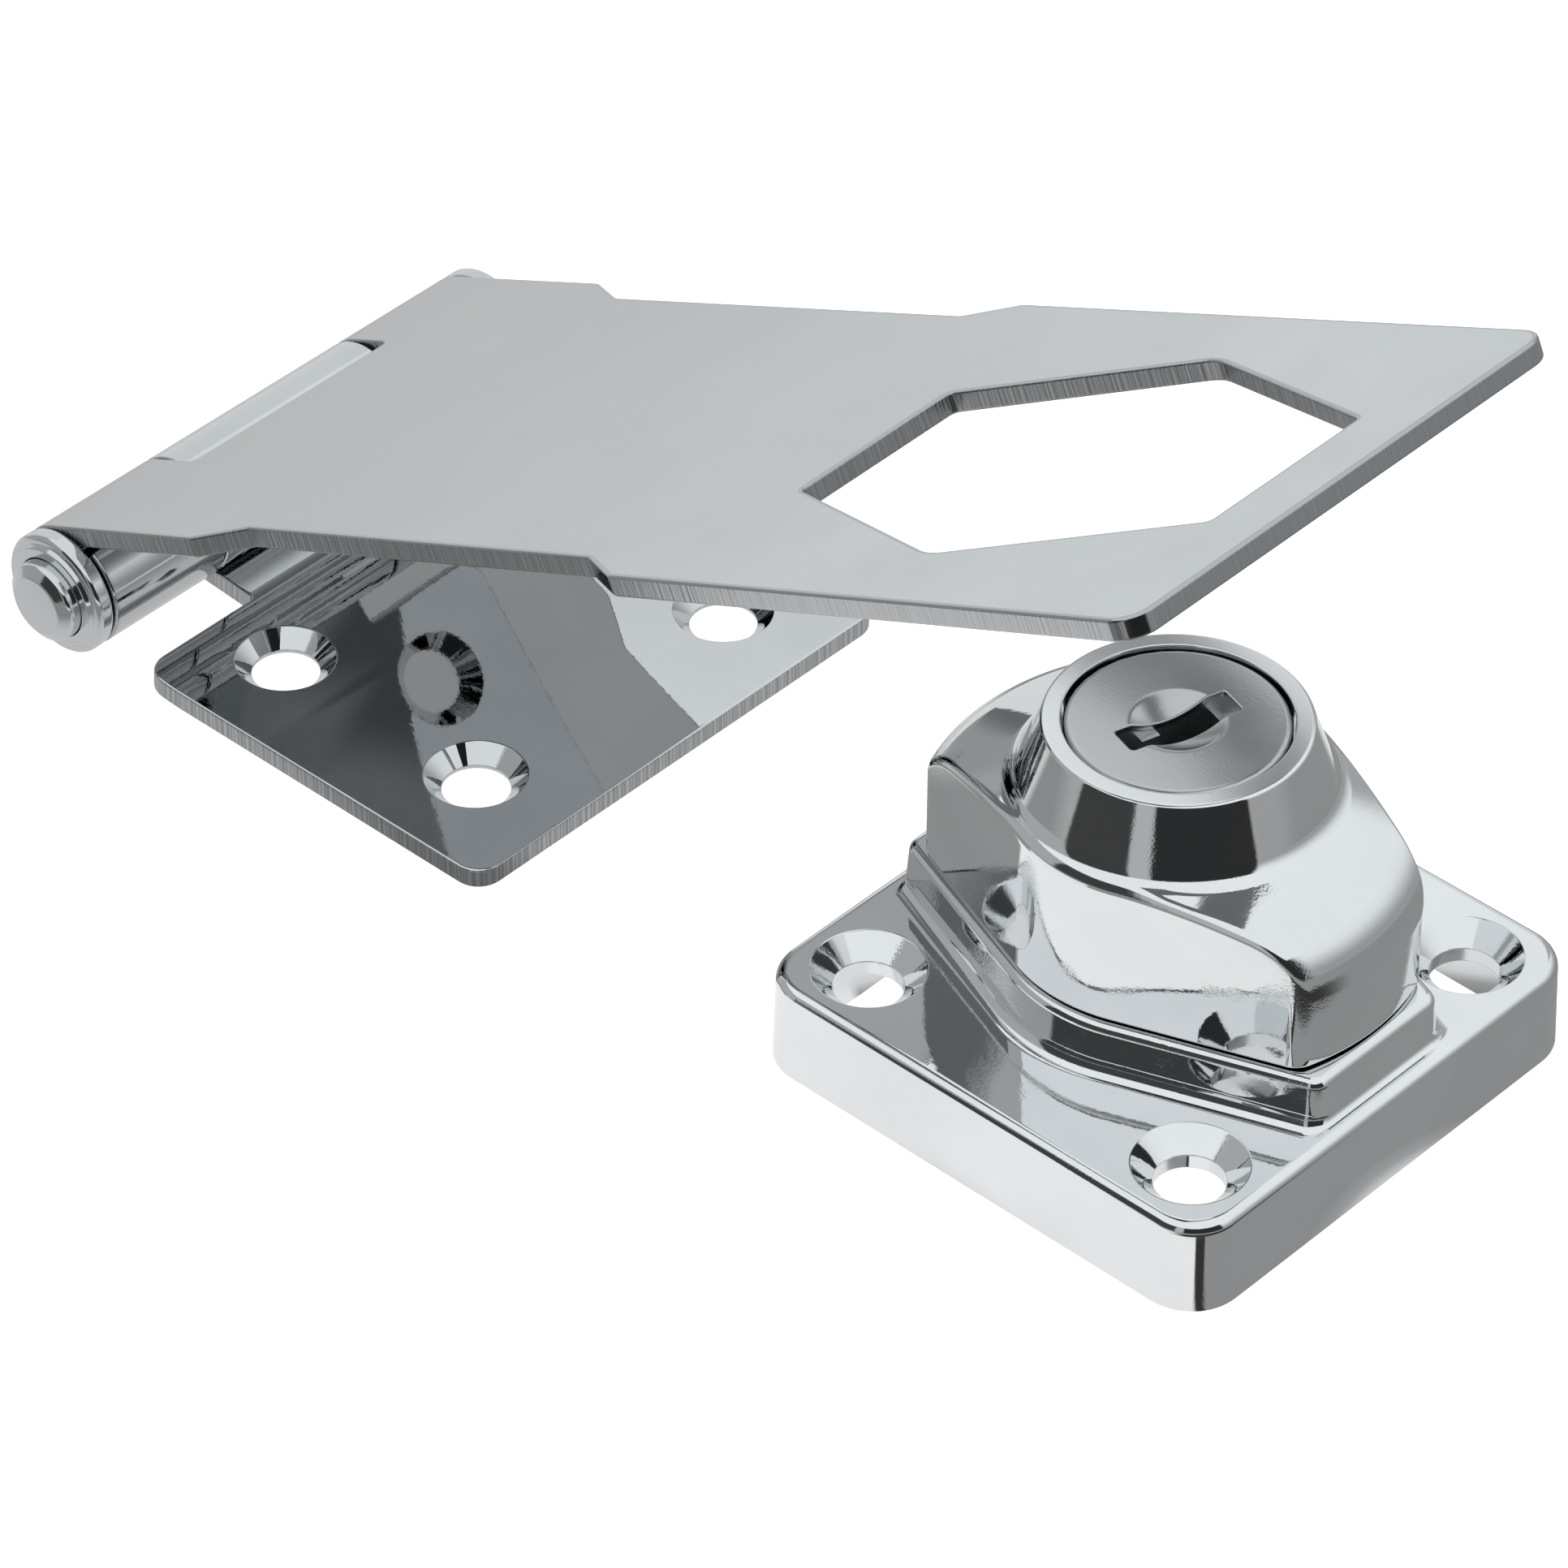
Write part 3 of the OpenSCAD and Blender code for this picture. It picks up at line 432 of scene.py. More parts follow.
# The flat leaf blank taken to its place: flat, then a soft bend that lifts it towards the
# hinge, then a straight rise to the point under the pin, then round the pin
def leafPlace(p):
    s, y, t = p[:, 0], p[:, 1], p[:, 2]
    run, bend = leafShape["bendRun"], leafShape["bend"]
    bendR = 2 * run / tilt
    turn = np.clip((bend + run - s) / bendR, 0, tilt)      # how far the plate has turned up
    x = np.maximum(s, bend + run) - bendR * np.sin(turn)
    z = bendR * (1 - np.cos(turn))
    under = -leafR * math.sin(tilt)                        # where the plate is under the pin
    rise = np.clip(bend - run - s, 0, None)
    straight = np.minimum(rise, (bend - run * math.cos(tilt) - under) / math.cos(tilt))
    x = x - straight * math.cos(tilt) - t * -np.sin(turn)
    z = z + straight * math.sin(tilt) + t * np.cos(turn)
    wind = (rise - straight) / (leafR - leafShape["thick"] / 2)
    angle = math.radians(270) - tilt - wind
    radius = leafR - t
    curled = wind > 0
    x = np.where(curled, radius * np.cos(angle), x)
    z = np.where(curled, hingeZ + radius * np.sin(angle), z)
    return np.column_stack([hinge["x"] + x, y, z])


# Rows of inner points across strips of a blank that will be bent, every stepS along it
def bendRows(fromS, toS, strips, stepS=0.2, stepY=3.0):
    rows = []
    for low, high in strips:
        s = np.arange(fromS, toS, stepS)
        y = np.linspace(low, high, max(2, int((high - low) / stepY)) + 1)[1:-1]
        rows.append(np.stack(np.meshgrid(s, y, indexing="ij"), -1).reshape(-1, 2))
    return np.concatenate(rows)


# A profile runs on over the flat face by this many times its round
flatRun = 1.6


# Top and underside of a blank between its walls
def plateFlats(walls, thick, inner):
    return [flatArea([w["grid"][:, k, :2] for w in walls], z, facing, inner)
            for k, z, facing in ((-1, thick, 1), (0, 0.0, -1))]


# Profile of a sheared plate's edge, from the underside up: small rounds at both faces
def edgeProfile(thick, rim):
    run = -rim * flatRun
    return roundedPath([(run, 0, 0), (0, 0, rim), (0, thick, rim), (run, thick, 0)], closed=False, steps=5)


# Countersunk hole: profile from the underside up, out towards the hole's middle
def sinkProfile(thick, holeR, sinkR, rim, low=0.0):
    depth = sinkR - holeR
    run = rim * flatRun
    return roundedPath([(-run, low, 0), (0, low, rim), (0, thick - depth, rim * 0.6),
                        (-depth, thick, rim), (-depth - run, thick, 0)], closed=False, steps=5)


# The satin steps along the strap's top also set its painted shade, darkest near the hinge
strapShape = dict(thick=1.6, waist=37.0, waistFrom=20.4, waistTo=56.7, slant=4.2, waistR=0.8, length=110.0,
                  corner=2.2, curlR=0.45, notch=4.0, notchR=0.6, windowMid=85.5, windowHalf=19.1,
                  windowEnd=14.6, windowW=28.4, windowR=3.0, windowEndR=0.6, rim=0.22,
                  cleaner=0.35, satinAndShadeAt=(-3, 0, 90), satin=(0.5, 0.0, 1.0))


def makeStrap():
    c = strapShape
    wide, slim = hinge["width"] / 2, c["waist"] / 2
    curl = curlTurn * (hinge["boreR"] + c["thick"] / 2)
    slot = hinge["knuckleW"] / 2 + hinge["knuckleGap"]
    corners = [(-curl, -wide, c["curlR"]), (c["waistFrom"] - c["slant"], -wide, c["waistR"]),
               (c["waistFrom"], -slim, c["waistR"]), (c["waistTo"], -slim, c["waistR"]),
               (c["waistTo"] + c["slant"], -wide, c["waistR"]), (c["length"], -wide, c["corner"])]
    corners += [(x, -y, r) for x, y, r in reversed(corners)]
    corners += [(-curl, slot, c["curlR"]), (c["notch"], slot, c["notchR"]),
                (c["notch"], -slot, c["notchR"]), (-curl, -slot, c["curlR"])]
    outer = roundedPath(corners, steps=8, longest=0.2)
    mid, half, end, side = c["windowMid"], c["windowHalf"], c["windowEnd"] / 2, c["windowW"] / 2
    endR, sideR = c["windowEndR"], c["windowR"]
    window = roundedPath([(mid - half, -end, endR), (mid - half, end, endR), (mid, side, sideR),
                          (mid + half, end, endR), (mid + half, -end, endR), (mid, -side, sideR)],
                         steps=10, longest=1.0)
    profile = edgeProfile(c["thick"], c["rim"])
    walls = [shearedEdge(carried(outer, profile)), shearedEdge(carried(window, profile))]
    # Past the waist the edge is cleaner
    waistEnd = [c["waistTo"], c["waistTo"] + 2]
    walls[0]["sheared"] *= np.interp(walls[0]["points"][:, 0], waistEnd, [1.0, c["cleaner"]])
    inner = bendRows(-curl + 0.5, 0.2, [(-wide, -slot), (slot, wide)])
    flats = plateFlats(walls, c["thick"], inner)
    # The top is more satin towards the free end and on the curls; the same marks paint it lighter there and
    # darkest near the hinge: painted light and shade
    flats[0]["satin"] = np.interp(flats[0]["points"][:, 0], c["satinAndShadeAt"], c["satin"])
    makePiece("strap_plate", [mapped(p, strapPlace) for p in walls + flats], "strap",
              ["hasp_strap"], finishes["strap"])


def makeLeaf():
    c = leafShape
    wide, t = hinge["width"] / 2, c["tongueHalf"]
    end = -(curlTurn * (leafR - c["thick"] / 2) + leafR * math.sin(tilt))
    corners = [(c["edge"], -wide, c["corner"]), (c["length"], -wide, c["corner"]),
               (c["length"], wide, c["corner"]), (c["edge"], wide, c["corner"]), (c["edge"], t, c["rootR"]),
               (end, t, c["tongueR"]), (end, -t, c["tongueR"]), (c["edge"], -t, c["rootR"])]
    outer = roundedPath(corners, steps=8, longest=0.2)
    walls = [shearedEdge(carried(outer, edgeProfile(c["thick"], c["rim"])))]
    sink = sinkProfile(c["thick"], c["holeR"], c["sinkR"], c["sinkRim"])
    holes = [(x, y) for x in c["holesX"] for y in (-c["holesY"], c["holesY"])]
    walls += [carried(circlePath(x, y, c["holeR"], 64, hole=True), sink) for x, y in holes]
    # Inner points where the plate curls and where it bends, clear of the countersinks
    bendFrom, bendTo = c["bend"] - c["bendSpan"], c["bend"] + c["bendSpan"]
    inner = np.concatenate([bendRows(end + 0.5, 0.4, [(-t, t)]),
                            bendRows(bendFrom, bendTo, [(-wide + 0.4, wide - 0.4)], 0.3, 1.5)])
    away = np.all([np.hypot(*(inner - hole).T) > c["sinkR"] + 0.5 for hole in holes], axis=0)
    flats = plateFlats(walls, c["thick"], inner[away])
    makePiece("leaf_plate", [mapped(p, leafPlace) for p in walls + flats], "mounted",
              ["hinge_leaf"], finishes["leaf"])


# The pin and its washers: profiles turned about the hinge axis, where the turning's z axis
# becomes the pin's own, towards side
def pinPlace(side):
    def place(p):
        return np.column_stack([hinge["x"] + p[:, 0], p[:, 2] * side, hingeZ + p[:, 1] * -side])
    return place


pinShape = dict(end=24.05, dome=0.55, flat=2.3, flatR=0.5, domeR=0.4)
washerShape = dict(start=20.75, thick=1.5, outR=4.75, inR=3.15, round=0.45, lip=0.35, lipTo=0.72,
                   lipFoot=0.95)


def makePin():
    c, w = pinShape, washerShape
    r, shoulder = hinge["pinR"], c["end"] - c["dome"]
    profile = roundedPath([(0.0, -c["end"], 0), (c["flat"], -c["end"], c["flatR"]),
                           (r, -shoulder, c["domeR"]), (r, shoulder, c["domeR"]),
                           (c["flat"], c["end"], c["flatR"]), (0.0, c["end"], 0)], closed=False, steps=8)
    makePiece("hinge_pin_rod", [mapped(turned(profile), pinPlace(1))], "mounted",
              ["hinge_pin"], finishes["pin"])
    top = w["start"] + w["thick"]
    washer = roundedPath([(w["inR"], w["start"], 0.05), (w["outR"], w["start"], w["round"]),
                          (w["outR"], top, w["round"]), (w["inR"] + w["lipFoot"], top, 0.12),
                          (w["inR"] + w["lipTo"], top + w["lip"], 0.15), (w["inR"], top + w["lip"], 0.1)],
                         steps=8)
    for name, side in (("near", -1), ("far", 1)):
        ring = turned(washer)
        ring["faces"] = gridFaces(len(ring["points"]) // len(washer[0]), len(washer[0]), True, True)
        makePiece("washer_" + name, [mapped(ring, pinPlace(side))], "mounted",
                  ["pin_washer_" + name], finishes["pin"])


print("hinge")
makeStrap()
makeLeaf()
makePin()


# Lock base

baseShape = dict(width=40.0, height=7.4, corner=4.0, draft=0.25, edge=0.9, pitch=28.5, holeR=2.45, sinkR=4.0,
                 rim=0.2, bottomRim=0.25, ceiling=4.65, wall=1.5, rib=4.5, ribR=0.5, hollowCorner=2.5,
                 bossWall=1.0)
postShape = dict(length=37.0, r=12.4, height=4.0, corner=1.5, edge=0.8, foot=1.2, side=20.7, lean=0.22,
                 footFade=0.8, fadeFrom=0.45, fadeOver=0.5)
neckShape = dict(r=8.5, clear=0.05, lift=0.5, recessR=11.3, recessH=3.6, trackR=13.0, trackTop=3.0,
                 trackFrom=36.87, trackTo=143.13, pocketHalf=3.45, pocketEnd=10.72, pocketTop=6.5,
                 slotHalf=3.375, slotFrom=4.1, slotTop=6.3, hollowR=6.8, ledge=8.6, flat=7.8,
                 lipH=0.2, lipR=0.18, lipRun=0.25)
# A casting's profile runs on over its flat top by this many times its round
topRun = 1.1


# Outline of the post, or of the head: round middle, slanted sides tangent to it, and small
# corners. The ends are flat for the post (endR None) and round about the axis for the head.
def lockOutline(middle, corner, half=None, endR=None, steps=14, longest=0.6):
    a = math.radians(90 - postShape["side"])
    n = np.array([math.cos(a), math.sin(a)])
    if endR is None:
        cx = half - corner
        centre = np.array([cx, (middle - corner - cx * n[0]) / n[1]])
        endAngle = 0.0
    else:
        endAngle = a - math.acos((middle - corner) / (endR - corner))
        centre = (endR - corner) * np.array([math.cos(endAngle), math.sin(endAngle)])

    def arc(mid, r, start, stop, count):
        t = np.linspace(start, stop, count)[:, None]
        out = np.concatenate([np.cos(t), np.sin(t)], 1)
        return mid + r * out, out

    parts = []
    if endR is not None:
        parts.append(arc(np.zeros(2), endR, 0.0, endAngle, 16))
    parts.append(arc(centre, corner, endAngle, a, steps))
    parts.append(arc(np.zeros(2), middle, a, math.pi / 2, 14))
    pts = np.concatenate([p for p, _ in parts])
    nrm = np.concatenate([n_ for _, n_ in parts])
    if endR is None:                                        # the flat end starts on the x axis
        pts = np.vstack([[half, 0.0], pts])
        nrm = np.vstack([[1.0, 0.0], nrm])
    flipX, flipY = np.array([-1.0, 1.0]), np.array([1.0, -1.0])
    halfPts = np.vstack([pts, pts[-2::-1] * flipX])
    halfNrm = np.vstack([nrm, nrm[-2::-1] * flipX])
    pts = np.vstack([halfPts, halfPts[-2:0:-1] * flipY])
    nrm = np.vstack([halfNrm, halfNrm[-2:0:-1] * flipY])
    keep = np.linalg.norm(pts - np.roll(pts, 1, 0), axis=1) > 1e-9
    return subdivided(pts[keep], nrm[keep], True, longest)


# Hollow of the casting under one corner: inside the outer walls, beside the ribs, and round
# the boss, which is wider where the stop track runs. Clockwise, as it bounds a hole.
def cornerHollow(sideX, sideY):
    c, k = baseShape, neckShape
    boss = (k["trackR"] if sideY > 0 else k["recessR"]) + c["bossWall"]
    rib, inner = c["rib"], c["width"] / 2 - c["wall"]
    far = math.sqrt(boss ** 2 - rib ** 2)
    square = roundedPath([(rib, far, 0), (rib, inner, c["ribR"]), (inner, inner, c["hollowCorner"]),
                          (inner, rib, c["ribR"]), (far, rib, 0)], closed=False, steps=8)
    edge = math.degrees(math.atan2(rib, far))
    pts, nrm = joinedPaths(square, arcPath(boss, edge, 90 - edge, [edge, 90 - edge]))
    flip = np.array([sideX, sideY], float)
    pts, nrm = pts * flip, nrm * flip
    return (pts, nrm) if sideX * sideY > 0 else (pts[::-1], nrm[::-1])


# The head's seat in the base, seen from below: recess with the sector in which the stop
# washer's lug runs, then the bearing with its two pockets for the bolt. Gives the patches,
# the outline at the mounting face and the bearing's circle at its top.
def neckSeat(postTop):
    k = neckShape
    boreR, lipLow = k["r"] + k["clear"], postTop - k["lipH"]
    trackA, trackB = k["trackFrom"], k["trackTo"]
    half = math.degrees(math.asin(k["pocketHalf"] / boreR))
    marks = [trackA, trackB] + [a + side * half for a in (180, 270) for side in (-1, 1)]

    def at(r, angle):
        return r * np.array([math.cos(math.radians(angle)), math.sin(math.radians(angle))])

    inTrack = arcPath(k["recessR"], trackA, trackB, marks, hole=True)
    pastTrack = arcPath(k["recessR"], trackB, trackA + 360, marks, hole=True)
    trackWall = arcPath(k["trackR"], trackA, trackB, marks, hole=True)
    ends = [straightPath(at(k["recessR"], trackB), at(k["trackR"], trackB)),
            straightPath(at(k["trackR"], trackA), at(k["recessR"], trackA))]
    mouth = joinedPaths(ends[0], trackWall, ends[1], pastTrack)
    patches = [wallOn(path, 0, k["trackTop"]) for path in (ends[0], trackWall, ends[1], pastTrack)]
    patches += [wallOn(path, k["trackTop"], k["recessH"]) for path in (inTrack, pastTrack)]
    patches.append(areaBetween(trackWall, inTrack, k["trackTop"]))
    # The bearing's outline with a pocket on the -X and on the -Y side
    arcs = [arcPath(boreR, 180 - half, 180 + half, marks, hole=True),
            arcPath(boreR, 270 - half, 270 + half, marks, hole=True)]
    between = [arcPath(boreR, 180 + half, 270 - half, marks, hole=True),
               arcPath(boreR, 270 + half, 540 - half, marks, hole=True)]
    pockets = []
    for angle, arc in zip((180, 270), arcs):
        out, side = at(1, angle), at(1, angle - 90)
        start, stop = arc[0][0], arc[0][-1]
        outer = [out * k["pocketEnd"] + side * (end @ side) for end in (start, stop)]
        walls = [straightPath(start, outer[0]), straightPath(*outer), straightPath(outer[1], stop)]
        pockets.append(joinedPaths(*walls))
        patches += [wallOn(wall, k["recessH"], k["pocketTop"]) for wall in walls]
        patches.append(wallOn(arc, k["pocketTop"], lipLow))
        patches.append(areaBetween(pockets[-1], arc, k["pocketTop"]))
    for path in between:
        patches.append(wallOn(path, k["recessH"], k["pocketTop"]))
        patches.append(wallOn(path, k["pocketTop"], lipLow))
    notched = joinedPaths(between[1], pockets[1], between[0], pockets[0])
    whole = arcPath(k["recessR"], 0, 360, marks, hole=True)[0][:-1]
    patches.append(flatArea([whole, outlineOf(notched)], k["recessH"], -1))
    bore = arcPath(boreR, 0, 360, marks, hole=True)
    lipProfile = [(0, lipLow, 0), (0, postTop, k["lipR"]), (-k["lipRun"], postTop, 0)]
    lip = carried((bore[0][:-1], bore[1][:-1]), roundedPath(lipProfile, closed=False))
    return patches + [lip], outlineOf(mouth), lip


def makeBase():
    c, p = baseShape, postShape
    half, top = c["width"] / 2, c["height"]
    plate = roundedPath([(half, -half, c["corner"]), (half, half, c["corner"]), (-half, half, c["corner"]),
                         (-half, -half, c["corner"])], steps=16, longest=2.0)
    plateProfile = roundedPath([(-c["bottomRim"] * flatRun, 0, 0), (0, 0, c["bottomRim"]),
                                (-c["draft"], top, c["edge"]), (-c["draft"] - c["edge"] * topRun, top, 0)],
                               closed=False, steps=10)
    walls = [carried(plate, plateProfile)]
    sink = sinkProfile(top, c["holeR"], c["sinkR"], c["rim"], c["ceiling"])
    pitch = c["pitch"] / 2
    corners = [(x, y) for x in (-1, 1) for y in (-1, 1)]
    holes = [carried(circlePath(x * pitch, y * pitch, c["holeR"], 64, hole=True), sink) for x, y in corners]
    hollows = [cornerHollow(x, y) for x, y in corners]
    hollowWalls = [wallOn(path, 0, c["ceiling"], closed=True) for path in hollows]
    ceilings = [flatArea([outlineOf(path), hole["grid"][:, 0, :2]], c["ceiling"], -1)
                for path, hole in zip(hollows, holes)]
    outline = lockOutline(p["r"], p["corner"], half=p["length"] / 2)
    # The hollow foot fades out at the flat ends, where the plate has no room for it
    facing = np.abs(outline[1][:, 0])
    footScale = 1 - p["footFade"] * np.clip((facing - p["fadeFrom"]) / p["fadeOver"], 0, 1)
    footRun = p["foot"] + 0.02
    foot = roundedPath([(footRun, top, 0), (0.0, top, p["foot"]), (0.0, top + p["foot"] + 0.02, 0)],
                       closed=False, steps=8)
    footPatch = carried(outline, foot, outScale=footScale)
    postTop = top + p["height"]
    wall = roundedPath([(0.0, top + p["foot"] + 0.02, 0), (-p["lean"], postTop, p["edge"]),
                        (-p["lean"] - p["edge"] * topRun, postTop, 0)], closed=False, steps=10)
    wallPatch = carried(outline, wall)
    seat, mouth, lip = neckSeat(postTop)
    flats = [
        flatArea([w["grid"][:, -1, :2] for w in walls + holes] + [footPatch["grid"][:, 0, :2]], top),
        flatArea([walls[0]["grid"][:, 0, :2], mouth] + [outlineOf(path) for path in hollows], 0.0, -1),
        flatArea([wallPatch["grid"][:, -1, :2], lip["grid"][:, -1, :2]], postTop),
    ]
    patches = walls + holes + hollowWalls + ceilings + [footPatch, wallPatch] + seat + flats
    makePiece("base_casting", patches, "mounted", ["lock_base"], finishes["casting"])


# Twist head

headShape = dict(z=11.6, top=28.5, endR=17.7, midR=11.8, corner=1.9, wall=6.3, shoulderR=4.2, slope=20.0,
                 hollowR=1.8, ringR=9.05, lean=19.5, ringEdge=0.35, cutRound=0.7, bottomRound=0.3,
                 faceR=7.6, faceGap=0.15, lip=0.2, seat=26.3, plugR=6.05)


# The head's turned form from the ring's inner edge outwards and down to the wall, as a path
# of (radius, z). Shoulder, hollow and collar are arcs and cones tangent to each other.
def headProfile():
    c = headShape
    slope, lean = math.radians(c["slope"]), math.radians(c["lean"])
    centre = np.array([c["endR"] - c["shoulderR"], c["z"] + c["wall"]])
    flank = centre + c["shoulderR"] * np.array([math.sin(slope), math.cos(slope)])
    fall, run = math.tan(slope), math.tan(lean)
    meetR = (c["ringR"] + run * (c["top"] - flank[1] - fall * flank[0])) / (1 - run * fall)
    meetZ = flank[1] + fall * (flank[0] - meetR)
    shoulderTop = (c["endR"], flank[1] + fall * (flank[0] - c["endR"]))
    # The shoulder's arc replaces the corner between its flank and the upright wall
    return [(c["endR"], c["z"], 0), (*shoulderTop, c["shoulderR"]), (meetR, meetZ, c["hollowR"]),
            (c["ringR"], c["top"], c["ringEdge"]), (c["faceR"] + c["faceGap"] + c["lip"], c["top"], 0)]


# Neck from its end up to the head's underside, with two flats for the stop washer and the
# slot that the bolt leaves through; then its hollow, and the plug's bore above the ledge
def neckPatches():
    c, k = headShape, neckShape
    outer = math.degrees(math.asin(k["slotHalf"] / k["r"]))
    inner = math.degrees(math.asin(k["slotHalf"] / k["hollowR"]))
    flat = math.degrees(math.acos(k["flat"] / k["r"]))
    marks = [180 - outer, 180 + outer, 180 - inner, 180 + inner, flat, 180 - flat, 180 + flat, 360 - flat]

    def ringOf(r, hole=False):
        pts, nrm = arcPath(r, 0, 360, marks, hole)
        return pts[:-1], nrm[:-1]

    rounds = [arcPath(k["r"], flat, 180 - flat, marks), arcPath(k["r"], 180 + flat, 360 - flat, marks)]
    cut = k["r"] * math.sin(math.radians(flat))
    sides = [straightPath((-k["flat"], cut), (-k["flat"], -cut)),
             straightPath((k["flat"], -cut), (k["flat"], cut))]
    end = joinedPaths(rounds[0], sides[0], rounds[1], sides[1])
    patches = [wallOn(path, k["lift"], k["recessH"]) for path in rounds + sides]
    for a, side in ((180, sides[0]), (360, sides[1])):
        patches.append(areaBetween(arcPath(k["r"], a - flat, a + flat, marks), side, k["recessH"]))
    for ring, low, high in ((ringOf(k["r"]), k["recessH"], c["z"]),
                            (ringOf(k["hollowR"], True), k["lift"], k["ledge"])):
        patches.append(wallOn(ring, low, k["slotFrom"], closed=True))
        patches.append(wallOn(ring, k["slotTop"], high, closed=True))
    walls = [arcPath(k["r"], 180 + outer, 540 - outer, marks),
             arcPath(k["hollowR"], 180 + inner, 540 - inner, marks, hole=True)]
    gap = [arcPath(k["r"], 180 - outer, 180 + outer, marks)[0],
           arcPath(k["hollowR"], 180 - inner, 180 + inner, marks)[0]]
    walls += [straightPath(gap[0][0], gap[1][0]), straightPath(gap[1][-1], gap[0][-1])]
    patches += [wallOn(wall, k["slotFrom"], k["slotTop"]) for wall in walls]
    slotLoop = np.concatenate([gap[0], gap[1][::-1]])
    patches += [flatArea([slotLoop], k["slotFrom"], 1), flatArea([slotLoop], k["slotTop"], -1)]
    hollow = ringOf(k["hollowR"])[0]
    plugBore = circlePath(0, 0, c["plugR"], 96, hole=True)
    patches.append(flatArea([outlineOf(end), hollow], k["lift"], -1))
    patches.append(flatArea([hollow, plugBore[0]], k["ledge"], -1))
    patches.append(wallOn(plugBore, k["ledge"], c["seat"], closed=True))
    return patches, ringOf(k["r"])[0]


def makeHead():
    c = headShape
    pts, nrm = roundedPath(headProfile(), closed=False, steps=36, longest=0.25)
    pts, nrm = pts[::-1], nrm[::-1]                          # now from the ring outwards
    along = np.concatenate([[0], np.cumsum(np.linalg.norm(np.diff(pts, axis=0), axis=1))])
    outline = lockOutline(c["midR"], c["corner"], endR=c["endR"], steps=12, longest=0.35)
    rho = np.linalg.norm(outline[0], axis=1)
    radial = outline[0] / rho[:, None]
    # Where each radial section meets the side wall; radius grows along the profile up to the wall
    last = np.argmax(pts[:, 0] > c["endR"] - 1e-6)
    cut = np.interp(np.minimum(rho, c["endR"] - 1e-6), pts[:last + 1, 0], along[:last + 1])
    cutZ = np.interp(cut, along, pts[:, 1])
    stop = cut - c["cutRound"]
    s = np.minimum(along[None, :last + 1], stop[:, None])
    r, z = np.interp(s, along, pts[:, 0]), np.interp(s, along, pts[:, 1])
    nr, nz = np.interp(s, along, nrm[:, 0]), np.interp(s, along, nrm[:, 1])
    topPoints = np.dstack([radial[:, None] * r[..., None], z])
    topNormals = np.dstack([radial[:, None] * nr[..., None], nz])
    # Small round over the cut edge: a curve from the shoulder to the wall with its control
    # point at the edge itself
    t = np.linspace(0, 1, 11)[None, :, None]
    a = topPoints[:, -1:]
    b = np.concatenate([outline[0], cutZ[:, None]], 1)[:, None]
    d = b - np.array([0, 0, c["cutRound"]])
    edgePoints = a * (1 - t) ** 2 + 2 * b * t * (1 - t) + d * t ** 2
    wallNormal = np.concatenate([outline[1], np.zeros((len(rho), 1))], 1)[:, None]
    edgeNormals = unit(topNormals[:, -1:] * (1 - t) + wallNormal * t)
    # Wall, then the round at its foot
    low = c["bottomRound"]
    drop = np.linspace(0, 1, 6)[None, :]
    wallZ = d[:, :, 2] + (c["z"] + low - d[:, :, 2]) * drop
    wallPoints = np.dstack([np.broadcast_to(outline[0][:, None], wallZ.shape + (2,)), wallZ])
    q = np.linspace(0, math.pi / 2, 6)
    footXY = outline[0][:, None] - outline[1][:, None] * (low * (1 - np.cos(q)))[None, :, None]
    footZ = np.broadcast_to(c["z"] + low * (1 - np.sin(q)), (len(rho), 6))
    footPoints = np.dstack([footXY, footZ])
    footNormals = np.dstack([outline[1][:, None] * np.cos(q)[None, :, None],
                             np.broadcast_to(-np.sin(q), (len(rho), 6))])
    patches = [gridPatch(topPoints, unit(topNormals)), gridPatch(edgePoints, edgeNormals),
               gridPatch(wallPoints, np.broadcast_to(wallNormal, wallPoints.shape)),
               gridPatch(footPoints, unit(footNormals))]
    neck, neckOutline = neckPatches()
    patches += neck
    patches.append(flatArea([footPoints[:, -1, :2], neckOutline], c["z"], -1))
    seatR = c["faceR"] + c["faceGap"]
    rimCircle = radial * seatR
    patches.append(flatArea([rimCircle, circlePath(0, 0, c["plugR"], 96)[0]], c["seat"], 1))
    rimProfile = roundedPath([(0, c["seat"], 0), (0, c["top"], 0.12), (-c["lip"], c["top"], 0)], closed=False)
    inside = carried((rimCircle, -radial), rimProfile)
    inside["faces"] = inside["faces"][:, ::-1]
    patches.append(inside)
    for patch in (patches[0], inside):
        patch["satin"] = ramp(patch["normals"][:, 2], 0.9, 0.99) * (patch["points"][:, 2] > c["top"] - 0.3)
    makePiece("head_casting", patches, "head", ["lock_head"], finishes["casting"])


print("lock")
makeBase()
makeHead()


# Plug face

faceShape = dict(r=7.6, z=28.35, edge=0.5, thick=0.45, dishR=6.0, dishDepth=0.9, keyLen=8.6, keyW=2.3,
                 keyR=0.3, keyAngle=73.0, rim=0.12, skirt=1.5, easing=0.05)


